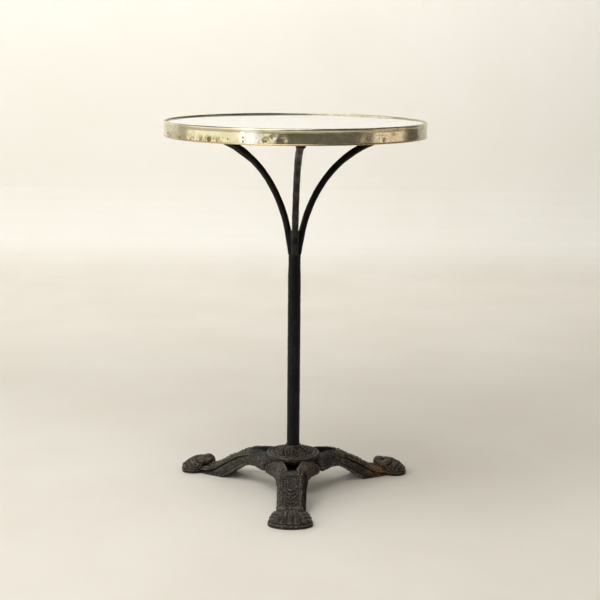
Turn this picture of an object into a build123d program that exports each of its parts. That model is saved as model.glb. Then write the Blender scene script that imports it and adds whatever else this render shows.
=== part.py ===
"""Bistro table: a round glass top in a metal band, on a three-branched iron stem and a cast-iron tripod base.

The origin is on the floor, on the stem's axis. +Z is up and the front leg points along -Y.
Azimuths are measured about the stem from -Y towards +X, and every size is in millimetres.
"""

import math
import os

from build123d import *

# Overall size
TABLE_HEIGHT = 730.0
TOP_DIAMETER = 504.0
BAND_HEIGHT = 30.0
FOOT_REACH = 258.0

# Top: band, glass, felt and board, from the outside in and from the top down
BAND_RADIUS = TOP_DIAMETER / 2
BAND_THICKNESS = 1.2
BEAD_HEIGHT = 7.0
LIP_RISE = 0.8
LIP_HEIGHT = 2.6
RIM_DEPTH = 3.0
GLASS_THICKNESS = 8.0
GLASS_INSET = 5.7
GLASS_BEVEL = 0.8
GLASS_CLEARANCE = 0.5
FELT_THICKNESS = 1.5
HEM_WIDTH = 6.0
HEM_THICKNESS = 1.0
LAP_AZIMUTH = -20.5
LAP_LENGTH = 12.0
LAP_THICKNESS = 0.6

GLASS_RADIUS = BAND_RADIUS - GLASS_INSET
BAND_FACE_RADIUS = BAND_RADIUS - LIP_RISE
BOARD_RADIUS = BAND_FACE_RADIUS - BAND_THICKNESS
BAND_BOTTOM = TABLE_HEIGHT - BAND_HEIGHT
BOARD_BOTTOM = BAND_BOTTOM + HEM_THICKNESS
GLASS_TOP = TABLE_HEIGHT - RIM_DEPTH
GLASS_BOTTOM = GLASS_TOP - GLASS_THICKNESS
BOARD_TOP = GLASS_BOTTOM - FELT_THICKNESS
BOARD_MIDDLE = (BOARD_TOP + BOARD_BOTTOM) / 2

# Board: three planks joined edge to edge by loose tongues
PLANK_EDGE = 80.0
TONGUE_WIDTH = 12.0
TONGUE_THICKNESS = 5.0
TONGUE_LENGTH = 420.0

# Nails that hold the band to the board
NAIL_HEAD_DIAMETER = 3.4
NAIL_HEAD_HEIGHT = 0.7
NAIL_DIAMETER = 1.6
NAIL_LENGTH = 14.0
NAIL_AZIMUTHS = (-27.5, 20.0, 65.0, 110.0, 155.0, 200.0, 245.0, 290.0)
NAIL_LEVEL = 709.5
LAP_NAIL_LEVELS = (706.0, 713.0)

# Branches: three round rods that leave the stem together and spread to the board
ROD_DIAMETER = 13.0
ROD_RADIUS = ROD_DIAMETER / 2
BRANCH_AZIMUTHS = {"front": 3.5, "right": 117.0, "left": -123.0}
BRANCH_LEAN = 11.0
BRANCH_FOOT = (5.15, 460.0)
STRAIGHT_LENGTH = 46.4
LOWER_BEND_RADIUS = 249.0
LOWER_BEND_END = 34.0
UPPER_BEND_END = 84.0
PAD_INNER_END = 202.0
PAD_OUTER_END = 236.0
PAD_WIDTH = 17.0
PAD_THICKNESS = 7.0
FORGING_START = 188.0
FORGING_END = 207.0
TAIL_LENGTH = 39.0

# Wood screws through the branch pads
SCREW_DIAMETER = 4.0
SCREW_HEAD_DIAMETER = 8.0
SCREW_HEAD_HEIGHT = 2.4
SCREW_DEPTH = 12.0
SCREW_RADII = (212.0, 226.0)

# Stem tube
TUBE_RADIUS = 12.7
NECK_RADIUS = 12.0
BORE_RADIUS = 9.0
TUBE_TOP = 469.0
TUBE_BOTTOM = 76.0
NECK_START = 430.0
NECK_END = 446.0
SHOULDER_TOP = 487.0
SHOULDER_RADIUS = 17.2
CORE_TOP = 516.0
CORE_BOTTOM = 474.0
RIVET_DIAMETER = 4.0
RIVET_LEVEL = 455.0
SLIP = 0.1

# Threaded foot of the stem, its cross pin and the nut that holds the base together
THREAD_DIAMETER = 16.0
PLUG_TOP = 125.0
PLUG_BOTTOM = 80.0
THREAD_END = 14.0
PIN_DIAMETER = 5.0
PIN_LEVEL = 105.0
PLATE_RADIUS = 50.0
PLATE_THICKNESS = 6.0
WASHER_DIAMETER = 34.0
WASHER_THICKNESS = 3.0
NUT_FLATS = 24.0
NUT_HEIGHT = 13.0

# Base cap
CAP_RADIUS = 53.0
CAP_SEAT = 65.5
CAP_RIM_TOP = 74.0
CAP_ROLL_START = 45.5
CAP_ROLL_CROWN = 49.5
CAP_RING_RADIUS = 39.0
CAP_RING_HALF_WIDTH = 2.0
CAP_BOSS_TOP = 88.0
CAP_BOSS_RADIUS = 15.0
CAP_BOSS_WAIST = (18.0, 82.0)
CAP_BOSS_FOOT = (25.0, 78.0)
CAP_PLATE_BOTTOM = 68.5
CAP_HUB_RADIUS = 17.0
CAP_HUB_FILLET = 4.0
CAP_SPIGOT_RADIUS = 47.5
CAP_SPIGOT_WALL = 6.0
CAP_SPIGOT_DEPTH = 5.0

# Leg castings: a channel with its open side down, flared at the root and ending in a round shell foot
LEG_AZIMUTHS = {"front": 0.0, "right": 120.0, "left": -120.0}
LEG_HALF_WIDTH = 28.3
WEB_THICKNESS = 6.0
WALL_THICKNESS = 5.5
SECTOR_HALF_ANGLE = 59.0
WING_RADIUS = 66.0
WING_REACH = 125.0
ROOT_HEIGHT = 68.5
ROOT_BOTTOM = 40.0
ROOT_BORE_RADIUS = 17.5
LEDGE_RADIUS = 48.0
FLANGE_THICKNESS = 6.0
HUMP_POSITION = 68.0
HUMP_HEIGHT = 67.6
HUMP_RADIUS = 115.0
LEG_SLOPE = 32.5
VALLEY_HEIGHT = 15.0
VALLEY_RADIUS = 60.0
ARCH_START = 72.0
ARCH_RADIUS = 62.0
ARCH_SLOPE = 33.0
HOLLOW_START = 62.0
HOLLOW_END = 196.0
NOTCH_START = 44.0
NOTCH_CORNER = 60.0
NOTCH_THROAT = 94.0
NOTCH_END = 104.0
NOTCH_WIDE = 17.5
NOTCH_NARROW = 9.3
WING_MEETING_ANGLE = 60.0
GAP_START = 52.0
GAP_HALF_WIDTH = 3.4
LUG_REACH = 62.0
LUG_ANGLE = 52.0
LUG_HEIGHT = 46.0
LUG_RADIUS = 5.0

# Foot: a domed oval shell whose back edge is rolled over
FOOT_MIDDLE = 230.5
FOOT_BACK = 200.0
FOOT_HALF_WIDTH = 42.3
FOOT_HEIGHT = 28.6
FOOT_BACK_HEIGHT = 25.0
FOOT_CROWN = 218.0
FOOT_BROW = (246.0, 18.0)
PLINTH_HEIGHT = 5.5
ROLL_POSITION = (206.0, 22.0)
ROLL_RADIUS = 6.5
ROLL_HALF_LENGTH = 22.0


def polar(radius, azimuth, height=0.0):
    """The point at a radius and azimuth about the stem's axis."""
    angle = math.radians(azimuth)
    return (radius * math.sin(angle), -radius * math.cos(angle), height)


def turn(azimuth):
    """The turn about the stem's axis that brings +X to an azimuth."""
    return Rot(0, 0, azimuth - 90)


def disc(radius, bottom, top):
    """An upright round solid on the stem's axis."""
    return Pos(0, 0, bottom) * extrude(Circle(radius), amount=top - bottom)


def ring(outer, inner, bottom, top):
    """An upright round solid with a round hole."""
    return Pos(0, 0, bottom) * extrude(Circle(outer) - Circle(inner), amount=top - bottom)


def turned(*edges):
    """A closed outline of radius and height, turned about the stem's axis."""
    return revolve(Plane.XZ * make_face(edges), Axis.Z)


def turned_polygon(*points):
    """A turned solid whose outline is straight from point to point."""
    return turned(Polyline(*points, close=True))


def radial_rod(radius, azimuth, height, start, end):
    """A round rod that points away from the stem's axis."""
    section = Plane(origin=polar(start, azimuth, height), z_dir=polar(1, azimuth)) * Circle(radius)
    return extrude(section, amount=end - start)


# ---------------------------------------------------------------- top


def glass_top():
    """The white glass disc, with a ground edge."""
    return turned_polygon(
        (0, GLASS_BOTTOM),
        (GLASS_RADIUS, GLASS_BOTTOM),
        (GLASS_RADIUS, GLASS_TOP - GLASS_BEVEL),
        (GLASS_RADIUS - GLASS_BEVEL, GLASS_TOP),
        (0, GLASS_TOP),
    )


def bedding_felt():
    """The thin felt sheet between the board and the glass."""
    return disc(GLASS_RADIUS, BOARD_TOP, GLASS_BOTTOM)


def screw_places():
    """The middle of each wood screw, as a radius and an azimuth."""
    return [(radius, azimuth) for azimuth in BRANCH_AZIMUTHS.values() for radius in SCREW_RADII]


def nail_places():
    """The level and azimuth of each nail, with the two that hold the lap last."""
    around = [(NAIL_LEVEL, azimuth) for azimuth in NAIL_AZIMUTHS]
    return around + [(level, LAP_AZIMUTH) for level in LAP_NAIL_LEVELS]


def nail_shanks():
    """The straight part of every nail."""
    start = BAND_RADIUS - NAIL_LENGTH
    return [radial_rod(NAIL_DIAMETER / 2, az, level, start, BAND_RADIUS) for level, az in nail_places()]


def screw_shanks(radius):
    """The straight part of every wood screw, at a chosen radius."""
    bottom = BOARD_BOTTOM - PAD_THICKNESS
    length = PAD_THICKNESS + SCREW_DEPTH
    return [Pos(*polar(r, az, bottom)) * extrude(Circle(radius), amount=length) for r, az in screw_places()]


def board_tongue(side):
    """A loose tongue in the joint between two planks; side is -1 or 1."""
    return Pos(side * PLANK_EDGE, 0, BOARD_MIDDLE) * Box(TONGUE_WIDTH, TONGUE_LENGTH, TONGUE_THICKNESS)


def board_planks():
    """The three planks of the round board, from left to right."""
    board = disc(BOARD_RADIUS, BOARD_BOTTOM, BOARD_TOP)
    board -= [board_tongue(side) for side in (-1, 1)]
    board -= nail_shanks() + screw_shanks(SCREW_DIAMETER / 2)
    thickness = BOARD_TOP - BOARD_BOTTOM
    outer_width = BOARD_RADIUS - PLANK_EDGE
    planks = []
    for middle, width in (
        (-(PLANK_EDGE + outer_width / 2), outer_width),
        (0, 2 * PLANK_EDGE),
        (PLANK_EDGE + outer_width / 2, outer_width),
    ):
        planks.append(board & Pos(middle, 0, BOARD_MIDDLE) * Box(width, TOP_DIAMETER, thickness))
    return planks


def rim_band():
    """The metal band: a rolled bead round the glass, a flat face, a lower lip and a hem under the board."""
    inner = GLASS_RADIUS + GLASS_CLEARANCE
    bead_bottom = TABLE_HEIGHT - BEAD_HEIGHT
    crown = (inner + BAND_RADIUS) / 2
    lip_middle = BAND_BOTTOM + LIP_HEIGHT / 2
    band = turned(
        Polyline(
            (BAND_FACE_RADIUS, bead_bottom),
            (BAND_FACE_RADIUS, BAND_BOTTOM + LIP_HEIGHT),
        ),
        ThreePointArc(
            (BAND_FACE_RADIUS, BAND_BOTTOM + LIP_HEIGHT),
            (BAND_RADIUS, lip_middle),
            (BAND_FACE_RADIUS, BAND_BOTTOM),
        ),
        Polyline(
            (BAND_FACE_RADIUS, BAND_BOTTOM),
            (BOARD_RADIUS - HEM_WIDTH, BAND_BOTTOM),
            (BOARD_RADIUS - HEM_WIDTH, BOARD_BOTTOM),
            (BOARD_RADIUS, BOARD_BOTTOM),
            (BOARD_RADIUS, BOARD_TOP),
            (inner, BOARD_TOP),
            (inner, TABLE_HEIGHT - LIP_RISE),
        ),
        ThreePointArc(
            (inner, TABLE_HEIGHT - LIP_RISE),
            (crown, TABLE_HEIGHT),
            (BAND_RADIUS - LIP_RISE / 2, TABLE_HEIGHT - 2 * LIP_RISE),
        ),
        ThreePointArc(
            (BAND_RADIUS - LIP_RISE / 2, TABLE_HEIGHT - 2 * LIP_RISE),
            (BAND_RADIUS, TABLE_HEIGHT - BEAD_HEIGHT / 2),
            (BAND_FACE_RADIUS, bead_bottom),
        ),
    )
    return band + band_lap() - nail_shanks()


def band_lap():
    """The end of the strip, which laps over its start."""
    height = BAND_HEIGHT - BEAD_HEIGHT - LIP_HEIGHT - 2
    skin = ring(BAND_FACE_RADIUS + LAP_THICKNESS, BAND_FACE_RADIUS, -height / 2, height / 2)
    patch = Pos(*polar(BAND_FACE_RADIUS, LAP_AZIMUTH)) * turn(LAP_AZIMUTH) * Box(20, LAP_LENGTH, height)
    middle = (BAND_BOTTOM + LIP_HEIGHT + TABLE_HEIGHT - BEAD_HEIGHT) / 2
    return Pos(0, 0, middle) * (skin & patch)


def rim_nails():
    """The round-headed nails, whose heads stand on the band's face or on the lap."""
    nails = []
    for level, azimuth in nail_places():
        face = BAND_FACE_RADIUS + (LAP_THICKNESS if azimuth == LAP_AZIMUTH else 0)
        shank = radial_rod(NAIL_DIAMETER / 2, azimuth, level, BAND_RADIUS - NAIL_LENGTH, face)
        head = radial_rod(NAIL_HEAD_DIAMETER / 2, azimuth, level, face, face + NAIL_HEAD_HEIGHT)
        nails.append(shank + head)
    return nails


# ---------------------------------------------------------------- branches


def branch_path():
    """The middle line of a branch, in the plane of X and Z."""
    lean = math.radians(BRANCH_LEAN)
    straight_end = (
        BRANCH_FOOT[0] + STRAIGHT_LENGTH * math.sin(lean),
        BRANCH_FOOT[1] + STRAIGHT_LENGTH * math.cos(lean),
    )
    straight = Line(BRANCH_FOOT, straight_end)
    lower = JernArc(straight @ 1, straight % 1, LOWER_BEND_RADIUS, BRANCH_LEAN - LOWER_BEND_END)
    rise_left = BOARD_BOTTOM - ROD_RADIUS - (lower @ 1).Y
    upper_radius = rise_left / (1 - math.sin(math.radians(LOWER_BEND_END)))
    upper = JernArc(lower @ 1, lower % 1, upper_radius, LOWER_BEND_END - UPPER_BEND_END)
    return Plane.XZ * (straight + lower + upper)


def swept_rod():
    """One round branch rod along +X, from inside the stem to its pad, hammered flat underneath there."""
    path = branch_path()
    rod = sweep(Plane(origin=path @ 0, z_dir=path % 0) * Circle(ROD_RADIUS), path)
    pad_bottom = BOARD_BOTTOM - PAD_THICKNESS
    low = pad_bottom - ROD_DIAMETER
    hammered = Polyline(
        (FORGING_START, low),
        (FORGING_END, pad_bottom),
        (TOP_DIAMETER / 2, pad_bottom),
        (TOP_DIAMETER / 2, low),
        close=True,
    )
    return rod - extrude(Plane.XZ * make_face(hammered), amount=ROD_DIAMETER, both=True)


def branch_pad():
    """The forged flat end that lies under the board, along +X."""
    plan = SlotOverall(PAD_OUTER_END - PAD_INNER_END, PAD_WIDTH)
    middle = (PAD_INNER_END + PAD_OUTER_END) / 2
    return Pos(middle, 0, BOARD_BOTTOM - PAD_THICKNESS) * extrude(plan, amount=PAD_THICKNESS)


def sector(azimuth, radius, bottom, top):
    """A third of a round bar."""
    corner = radius * 2 / math.sqrt(3)
    wedge = Polyline(
        (0, 0),
        (corner / 2, -radius),
        (2 * radius, -radius),
        (2 * radius, radius),
        (corner / 2, radius),
        close=True,
    )
    third = extrude(make_face(wedge), amount=top - bottom)
    bar = extrude(Circle(radius), amount=top - bottom)
    return Pos(0, 0, bottom) * turn(azimuth) * (bar & third)


def branch(name):
    """A branch: swept rod, pad at its outer end and a tail that is a third of the stem's spigot."""
    azimuth = BRANCH_AZIMUTHS[name]
    sector_azimuth = LEG_AZIMUTHS[name]
    rod = turn(azimuth) * swept_rod()
    rod &= sector(sector_azimuth, TOP_DIAMETER, TUBE_TOP, TABLE_HEIGHT)
    shoulder_cone = Cone(NECK_RADIUS, SHOULDER_RADIUS, SHOULDER_TOP - TUBE_TOP)
    shoulder = Pos(0, 0, (TUBE_TOP + SHOULDER_TOP) / 2) * shoulder_cone
    rod -= disc(2 * SHOULDER_RADIUS, TUBE_TOP, SHOULDER_TOP) - shoulder
    tail = sector(sector_azimuth, BORE_RADIUS - SLIP, TUBE_TOP - TAIL_LENGTH, TUBE_TOP)
    whole = rod + turn(azimuth) * branch_pad() + tail
    return whole - branch_rivets() - screw_shanks(SCREW_DIAMETER / 2 + SLIP)


def branch_rivets():
    """The rivets that hold the three tails in the neck of the stem, filed flush."""
    return [radial_rod(RIVET_DIAMETER / 2, az, RIVET_LEVEL, 2.5, NECK_RADIUS) for az in LEG_AZIMUTHS.values()]


def branch_screws():
    """The wood screws under the pads."""
    shanks = screw_shanks(SCREW_DIAMETER / 2)
    bottom = BOARD_BOTTOM - PAD_THICKNESS - SCREW_HEAD_HEIGHT
    heads = []
    for radius, azimuth in screw_places():
        head = Cone(SCREW_HEAD_DIAMETER / 2 - 1, SCREW_HEAD_DIAMETER / 2, SCREW_HEAD_HEIGHT)
        heads.append(Pos(*polar(radius, azimuth, bottom + SCREW_HEAD_HEIGHT / 2)) * head)
    return [shank + head for shank, head in zip(shanks, heads)]


def junction_core():
    """The forged wedge that fills the space between the three branches just above the stem."""
    lean = math.tan(math.radians(BRANCH_LEAN))
    corners = []
    for level in (CORE_BOTTOM, CORE_TOP):
        reach = BRANCH_FOOT[0] + (level - BRANCH_FOOT[1]) * lean
        corners.append([polar(reach, azimuth, level) for azimuth in LEG_AZIMUTHS.values()])
    wedge = loft([make_face(Polyline(*level, close=True)) for level in corners])
    rods = [turn(azimuth) * swept_rod() for azimuth in BRANCH_AZIMUTHS.values()]
    return wedge - rods


# ---------------------------------------------------------------- stem


def stem_tube():
    """The iron tube, drawn in a little at its neck."""
    tube = turned_polygon(
        (BORE_RADIUS, TUBE_BOTTOM),
        (TUBE_RADIUS, TUBE_BOTTOM),
        (TUBE_RADIUS, NECK_START),
        (NECK_RADIUS, NECK_END),
        (NECK_RADIUS, TUBE_TOP),
        (BORE_RADIUS, TUBE_TOP),
    )
    return tube - branch_rivets() - foot_pin()


def stem_foot():
    """The threaded bar that is plugged into the bottom of the tube."""
    plug = disc(BORE_RADIUS - SLIP, PLUG_BOTTOM, PLUG_TOP)
    thread = disc(THREAD_DIAMETER / 2, THREAD_END, PLUG_BOTTOM)
    return plug + thread - foot_pin()


def foot_pin():
    """The pin across the tube and the plug of the threaded bar, filed flush."""
    return Pos(0, 0, PIN_LEVEL) * Rot(0, 90, 0) * Cylinder(PIN_DIAMETER / 2, 2 * TUBE_RADIUS - 0.4)


# ---------------------------------------------------------------- base


def base_cap():
    """The round cap that sits in the ring of the three leg roots and holds the stem in its boss."""
    bore = THREAD_DIAMETER / 2 + SLIP * 3
    socket = TUBE_RADIUS + SLIP
    hub_bottom = ROOT_BOTTOM + 1
    edge = CAP_RADIUS - 0.6
    ring_inside = (CAP_RING_RADIUS - CAP_RING_HALF_WIDTH, CAP_RIM_TOP)
    ring_crown = (CAP_RING_RADIUS, CAP_RIM_TOP + 1.4)
    ring_outside = (CAP_RING_RADIUS + CAP_RING_HALF_WIDTH, CAP_RIM_TOP - 0.6)
    roll_start = (CAP_ROLL_START, CAP_RIM_TOP - 2)
    roll_end = (edge, CAP_RIM_TOP - 3)
    return turned(
        Polyline((bore, hub_bottom), (bore, TUBE_BOTTOM), (socket, TUBE_BOTTOM), (socket, CAP_BOSS_TOP)),
        Line((socket, CAP_BOSS_TOP), (CAP_BOSS_RADIUS, CAP_BOSS_TOP)),
        ThreePointArc((CAP_BOSS_RADIUS, CAP_BOSS_TOP), CAP_BOSS_WAIST, CAP_BOSS_FOOT),
        Line(CAP_BOSS_FOOT, ring_inside),
        ThreePointArc(ring_inside, ring_crown, ring_outside),
        Line(ring_outside, roll_start),
        ThreePointArc(roll_start, (CAP_ROLL_CROWN, CAP_RIM_TOP), roll_end),
        ThreePointArc(roll_end, (CAP_RADIUS, CAP_RIM_TOP - 5), (edge, CAP_SEAT)),
        Polyline(
            (edge, CAP_SEAT),
            (CAP_SPIGOT_RADIUS, CAP_SEAT),
            (CAP_SPIGOT_RADIUS, CAP_SEAT - CAP_SPIGOT_DEPTH),
            (CAP_SPIGOT_RADIUS - CAP_SPIGOT_WALL, CAP_SEAT - CAP_SPIGOT_DEPTH),
            (CAP_SPIGOT_RADIUS - CAP_SPIGOT_WALL, CAP_PLATE_BOTTOM),
            (CAP_HUB_RADIUS + CAP_HUB_FILLET, CAP_PLATE_BOTTOM),
            (CAP_HUB_RADIUS, CAP_PLATE_BOTTOM - CAP_HUB_FILLET),
            (CAP_HUB_RADIUS, hub_bottom),
            (bore, hub_bottom),
        ),
    )


def leg_top_edge(drop):
    """The upper edge of a leg from its hump to its valley, lowered by a drop."""
    slope = math.radians(LEG_SLOPE)
    fall = HUMP_HEIGHT - VALLEY_HEIGHT - (HUMP_RADIUS + VALLEY_RADIUS) * (1 - math.cos(slope))
    hump = JernArc((HUMP_POSITION, HUMP_HEIGHT - drop), (1, 0), HUMP_RADIUS, -LEG_SLOPE)
    straight_end = hump @ 1 + (hump % 1) * (fall / math.sin(slope))
    straight = Line(hump @ 1, straight_end)
    valley = JernArc(straight @ 1, straight % 1, VALLEY_RADIUS, LEG_SLOPE)
    return [hump, straight, valley]


def leg_side_outline():
    """The side view of a leg without its foot, with X as the reach from the stem."""
    top = leg_top_edge(0)
    arch = JernArc((ARCH_START, ROOT_BOTTOM), (1, 0), ARCH_RADIUS, -ARCH_SLOPE)
    sole_start = (arch @ 1).X + (arch @ 1).Y / math.tan(math.radians(ARCH_SLOPE))
    end = Polyline(top[-1] @ 1, (FOOT_MIDDLE, VALLEY_HEIGHT), (FOOT_MIDDLE, 0), (sole_start, 0), arch @ 1)
    root = Polyline(
        (ARCH_START, ROOT_BOTTOM),
        (0, ROOT_BOTTOM),
        (0, ROOT_HEIGHT),
        (CAP_RADIUS, ROOT_HEIGHT),
        (HUMP_POSITION, HUMP_HEIGHT),
    )
    return make_face([*top, end, arch, root])


def leg_hollow_outline():
    """The side view of the space under a leg's web."""
    top = leg_top_edge(WEB_THICKNESS)
    back = Polyline(
        top[-1] @ 1,
        (top[-1] @ 1).X * Vector(1, 0) + Vector(0, -1),
        (HOLLOW_START, -1),
        (HOLLOW_START, HUMP_HEIGHT - WEB_THICKNESS),
        top[0] @ 0,
    )
    return make_face([*top, back])


def leg_plan(inset=0.0):
    """The plan view of a leg without its foot, with X as the reach from the stem."""
    width = LEG_HALF_WIDTH - inset
    angle = math.radians(SECTOR_HALF_ANGLE)
    tip_radius = WING_RADIUS - inset
    tip = (tip_radius * math.cos(angle) + inset, tip_radius * math.sin(angle) - inset)
    half = [
        Line((2 * inset, 0), tip),
        TangentArc([(WING_REACH, width), tip], tangent=(-1, 0)),
        Polyline((WING_REACH, width), (FOOT_MIDDLE, width), (FOOT_MIDDLE, 0)),
    ]
    return make_face([*half, *[mirror(edge, Plane.XZ) for edge in half]])


def leg_notch():
    """The tapered slot in the web and the root wall."""
    half = Polyline(
        (NOTCH_START, 0),
        (NOTCH_START, NOTCH_WIDE),
        (NOTCH_CORNER, NOTCH_WIDE),
        (NOTCH_THROAT, NOTCH_NARROW),
        (NOTCH_END, NOTCH_NARROW),
        (NOTCH_END, 0),
    )
    floor = ROOT_BOTTOM + 2 * FLANGE_THICKNESS
    outline = make_face([half, mirror(half, Plane.XZ)])
    return Pos(0, 0, floor) * extrude(outline, amount=HUMP_HEIGHT)


def wing_gap(hand):
    """The space left between the tip of a wing and the next casting; hand is 1 or -1."""
    length = WING_RADIUS - GAP_START + 4 * GAP_HALF_WIDTH
    plan = Pos(GAP_START + length / 2, 0) * Rectangle(length, 2 * GAP_HALF_WIDTH)
    return extrude(Rot(0, 0, WING_MEETING_ANGLE * hand) * plan, amount=2 * HUMP_HEIGHT)


def wing_lug(hand):
    """The rounded drop under the tip of a wing; hand is 1 or -1."""
    return Rot(0, 0, LUG_ANGLE * hand) * Pos(LUG_REACH, 0, LUG_HEIGHT) * Sphere(LUG_RADIUS)


def foot_shell():
    """The foot: the common part of its plan, its side view and its front view, with the roll at its back."""
    crown = (FOOT_CROWN, FOOT_HEIGHT)
    back_top = (FOOT_BACK, FOOT_BACK_HEIGHT)
    toe = (FOOT_REACH, PLINTH_HEIGHT)
    side = make_face(
        [
            TangentArc([crown, back_top], tangent=(-1, 0)),
            ThreePointArc(crown, FOOT_BROW, toe),
            Polyline(toe, (FOOT_REACH, 0), (FOOT_BACK, 0), back_top),
        ]
    )
    front_end = EllipticalCenterArc(
        (FOOT_MIDDLE, 0), FOOT_REACH - FOOT_MIDDLE, FOOT_HALF_WIDTH, start_angle=-90, arc_size=180
    )
    back_end = EllipticalCenterArc(
        (FOOT_MIDDLE, 0), FOOT_MIDDLE - FOOT_BACK, FOOT_HALF_WIDTH, start_angle=90, arc_size=180
    )
    dome = Ellipse(FOOT_HALF_WIDTH + 1, FOOT_HEIGHT)
    shell = extrude(Plane.XZ * side, amount=FOOT_HALF_WIDTH, both=True)
    shell &= extrude(make_face([front_end, back_end]), amount=FOOT_HEIGHT)
    shell &= Pos(FOOT_MIDDLE, 0, 0) * extrude(Plane.YZ * dome, amount=FOOT_HALF_WIDTH, both=True)
    roll = Rot(90, 0, 0) * Cylinder(ROLL_RADIUS, 2 * ROLL_HALF_LENGTH)
    return shell + Pos(ROLL_POSITION[0], 0, ROLL_POSITION[1]) * roll


def leg_casting():
    """A leg casting along +X."""
    side = extrude(Plane.XZ * leg_side_outline(), amount=WING_RADIUS, both=True)
    body = side & extrude(leg_plan(), amount=2 * HUMP_HEIGHT)
    hollow_side = extrude(Plane.XZ * leg_hollow_outline(), amount=WING_RADIUS, both=True)
    hollow = hollow_side & Pos(0, 0, -1) * extrude(leg_plan(WALL_THICKNESS), amount=2 * HUMP_HEIGHT)
    hollow_plan = Pos(HOLLOW_END / 2, 0, -1) * Rectangle(HOLLOW_END, 2 * WING_RADIUS)
    reach = extrude(hollow_plan, amount=2 * HUMP_HEIGHT)
    body -= (hollow & reach) - disc(HOLLOW_START, -1, HUMP_HEIGHT)
    body += foot_shell()
    for hand in (-1, 1):
        body = body - wing_gap(hand) + wing_lug(hand)
    body -= disc(ROOT_BORE_RADIUS, 0, HUMP_HEIGHT)
    body -= disc(LEDGE_RADIUS, ROOT_BOTTOM + FLANGE_THICKNESS, ROOT_HEIGHT + 1)
    body -= disc(CAP_RADIUS + 4 * SLIP, CAP_SEAT, ROOT_HEIGHT + 1)
    return body - leg_notch()


def clamp_plate():
    """The round plate that the nut draws up against the leg roots."""
    return ring(PLATE_RADIUS, THREAD_DIAMETER / 2 + 3 * SLIP, ROOT_BOTTOM - PLATE_THICKNESS, ROOT_BOTTOM)


def clamp_washer():
    """The washer under the plate."""
    top = ROOT_BOTTOM - PLATE_THICKNESS
    return ring(WASHER_DIAMETER / 2, THREAD_DIAMETER / 2 + 3 * SLIP, top - WASHER_THICKNESS, top)


def clamp_nut():
    """The hexagon nut on the threaded foot of the stem."""
    top = ROOT_BOTTOM - PLATE_THICKNESS - WASHER_THICKNESS
    section = RegularPolygon(NUT_FLATS / 2, 6, major_radius=False) - Circle(THREAD_DIAMETER / 2)
    return Pos(0, 0, top - NUT_HEIGHT) * extrude(section, amount=NUT_HEIGHT)


def write(name, *shapes):
    """Write one node, as one solid or a group of separate solids."""
    solids = [solid for shape in shapes for solid in shape.solids()]
    export_step(solids[0] if len(solids) == 1 else Compound(solids), f"parts/{name}.step")


os.makedirs("parts", exist_ok=True)

write("glass_top", glass_top())
write("bedding_felt", bedding_felt())
for name, plank in zip(("left", "middle", "right"), board_planks()):
    write(f"board_plank_{name}", plank)
write("board_tongue_left", board_tongue(-1))
write("board_tongue_right", board_tongue(1))
write("rim_band", rim_band())
write("rim_nails", *rim_nails())

for name in BRANCH_AZIMUTHS:
    write(f"branch_{name}", branch(name))
write("branch_screws", *branch_screws())
write("branch_rivets", *branch_rivets())
write("junction_core", junction_core())

write("stem_tube", stem_tube())
write("stem_foot", stem_foot())
write("foot_pin", foot_pin())

write("base_cap", base_cap())
casting = leg_casting()
for name, azimuth in LEG_AZIMUTHS.items():
    write(f"leg_{name}", turn(azimuth) * casting)
write("clamp_plate", clamp_plate())
write("clamp_washer", clamp_washer())
write("clamp_nut", clamp_nut())
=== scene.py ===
"""Bistro table: the visible pieces, their materials, the studio and the camera, round the CAD frame.

Shapes are worked out in millimetres and turned into meshes in metres. Azimuths are measured about the stem
from -Y, where the front leg points, towards +X. Cast and forged pieces are distance fields, meshed by
surface nets; turned and drawn pieces are grids of points.
"""

import math

import bpy
import numpy as np
from mathutils import Matrix, Vector

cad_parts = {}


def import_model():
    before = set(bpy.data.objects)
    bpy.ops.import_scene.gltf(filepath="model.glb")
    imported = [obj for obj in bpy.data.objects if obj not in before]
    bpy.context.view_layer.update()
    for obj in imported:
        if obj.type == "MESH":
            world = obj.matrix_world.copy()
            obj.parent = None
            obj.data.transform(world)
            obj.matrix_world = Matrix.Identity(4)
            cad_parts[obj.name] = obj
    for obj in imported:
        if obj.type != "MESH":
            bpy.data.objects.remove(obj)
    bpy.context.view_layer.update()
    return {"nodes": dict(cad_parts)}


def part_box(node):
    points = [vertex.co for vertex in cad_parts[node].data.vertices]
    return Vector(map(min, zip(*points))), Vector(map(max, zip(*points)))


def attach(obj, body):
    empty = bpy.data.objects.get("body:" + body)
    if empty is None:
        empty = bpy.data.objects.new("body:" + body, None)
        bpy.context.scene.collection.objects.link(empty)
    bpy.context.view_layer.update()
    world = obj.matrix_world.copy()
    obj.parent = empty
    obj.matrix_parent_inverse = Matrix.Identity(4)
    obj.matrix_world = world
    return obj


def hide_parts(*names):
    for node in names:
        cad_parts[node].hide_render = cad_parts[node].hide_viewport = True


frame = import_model()

MM = 0.001
TURN = 2 * math.pi


def lowest(node, axis=2):
    """A CAD node's lowest place along an axis, in millimetres."""
    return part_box(node)[0][axis] / MM


def highest(node, axis=2):
    """A CAD node's highest place along an axis, in millimetres."""
    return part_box(node)[1][axis] / MM


# ---------------------------------------------------------------- sizes, from the frame where it holds them

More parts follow.
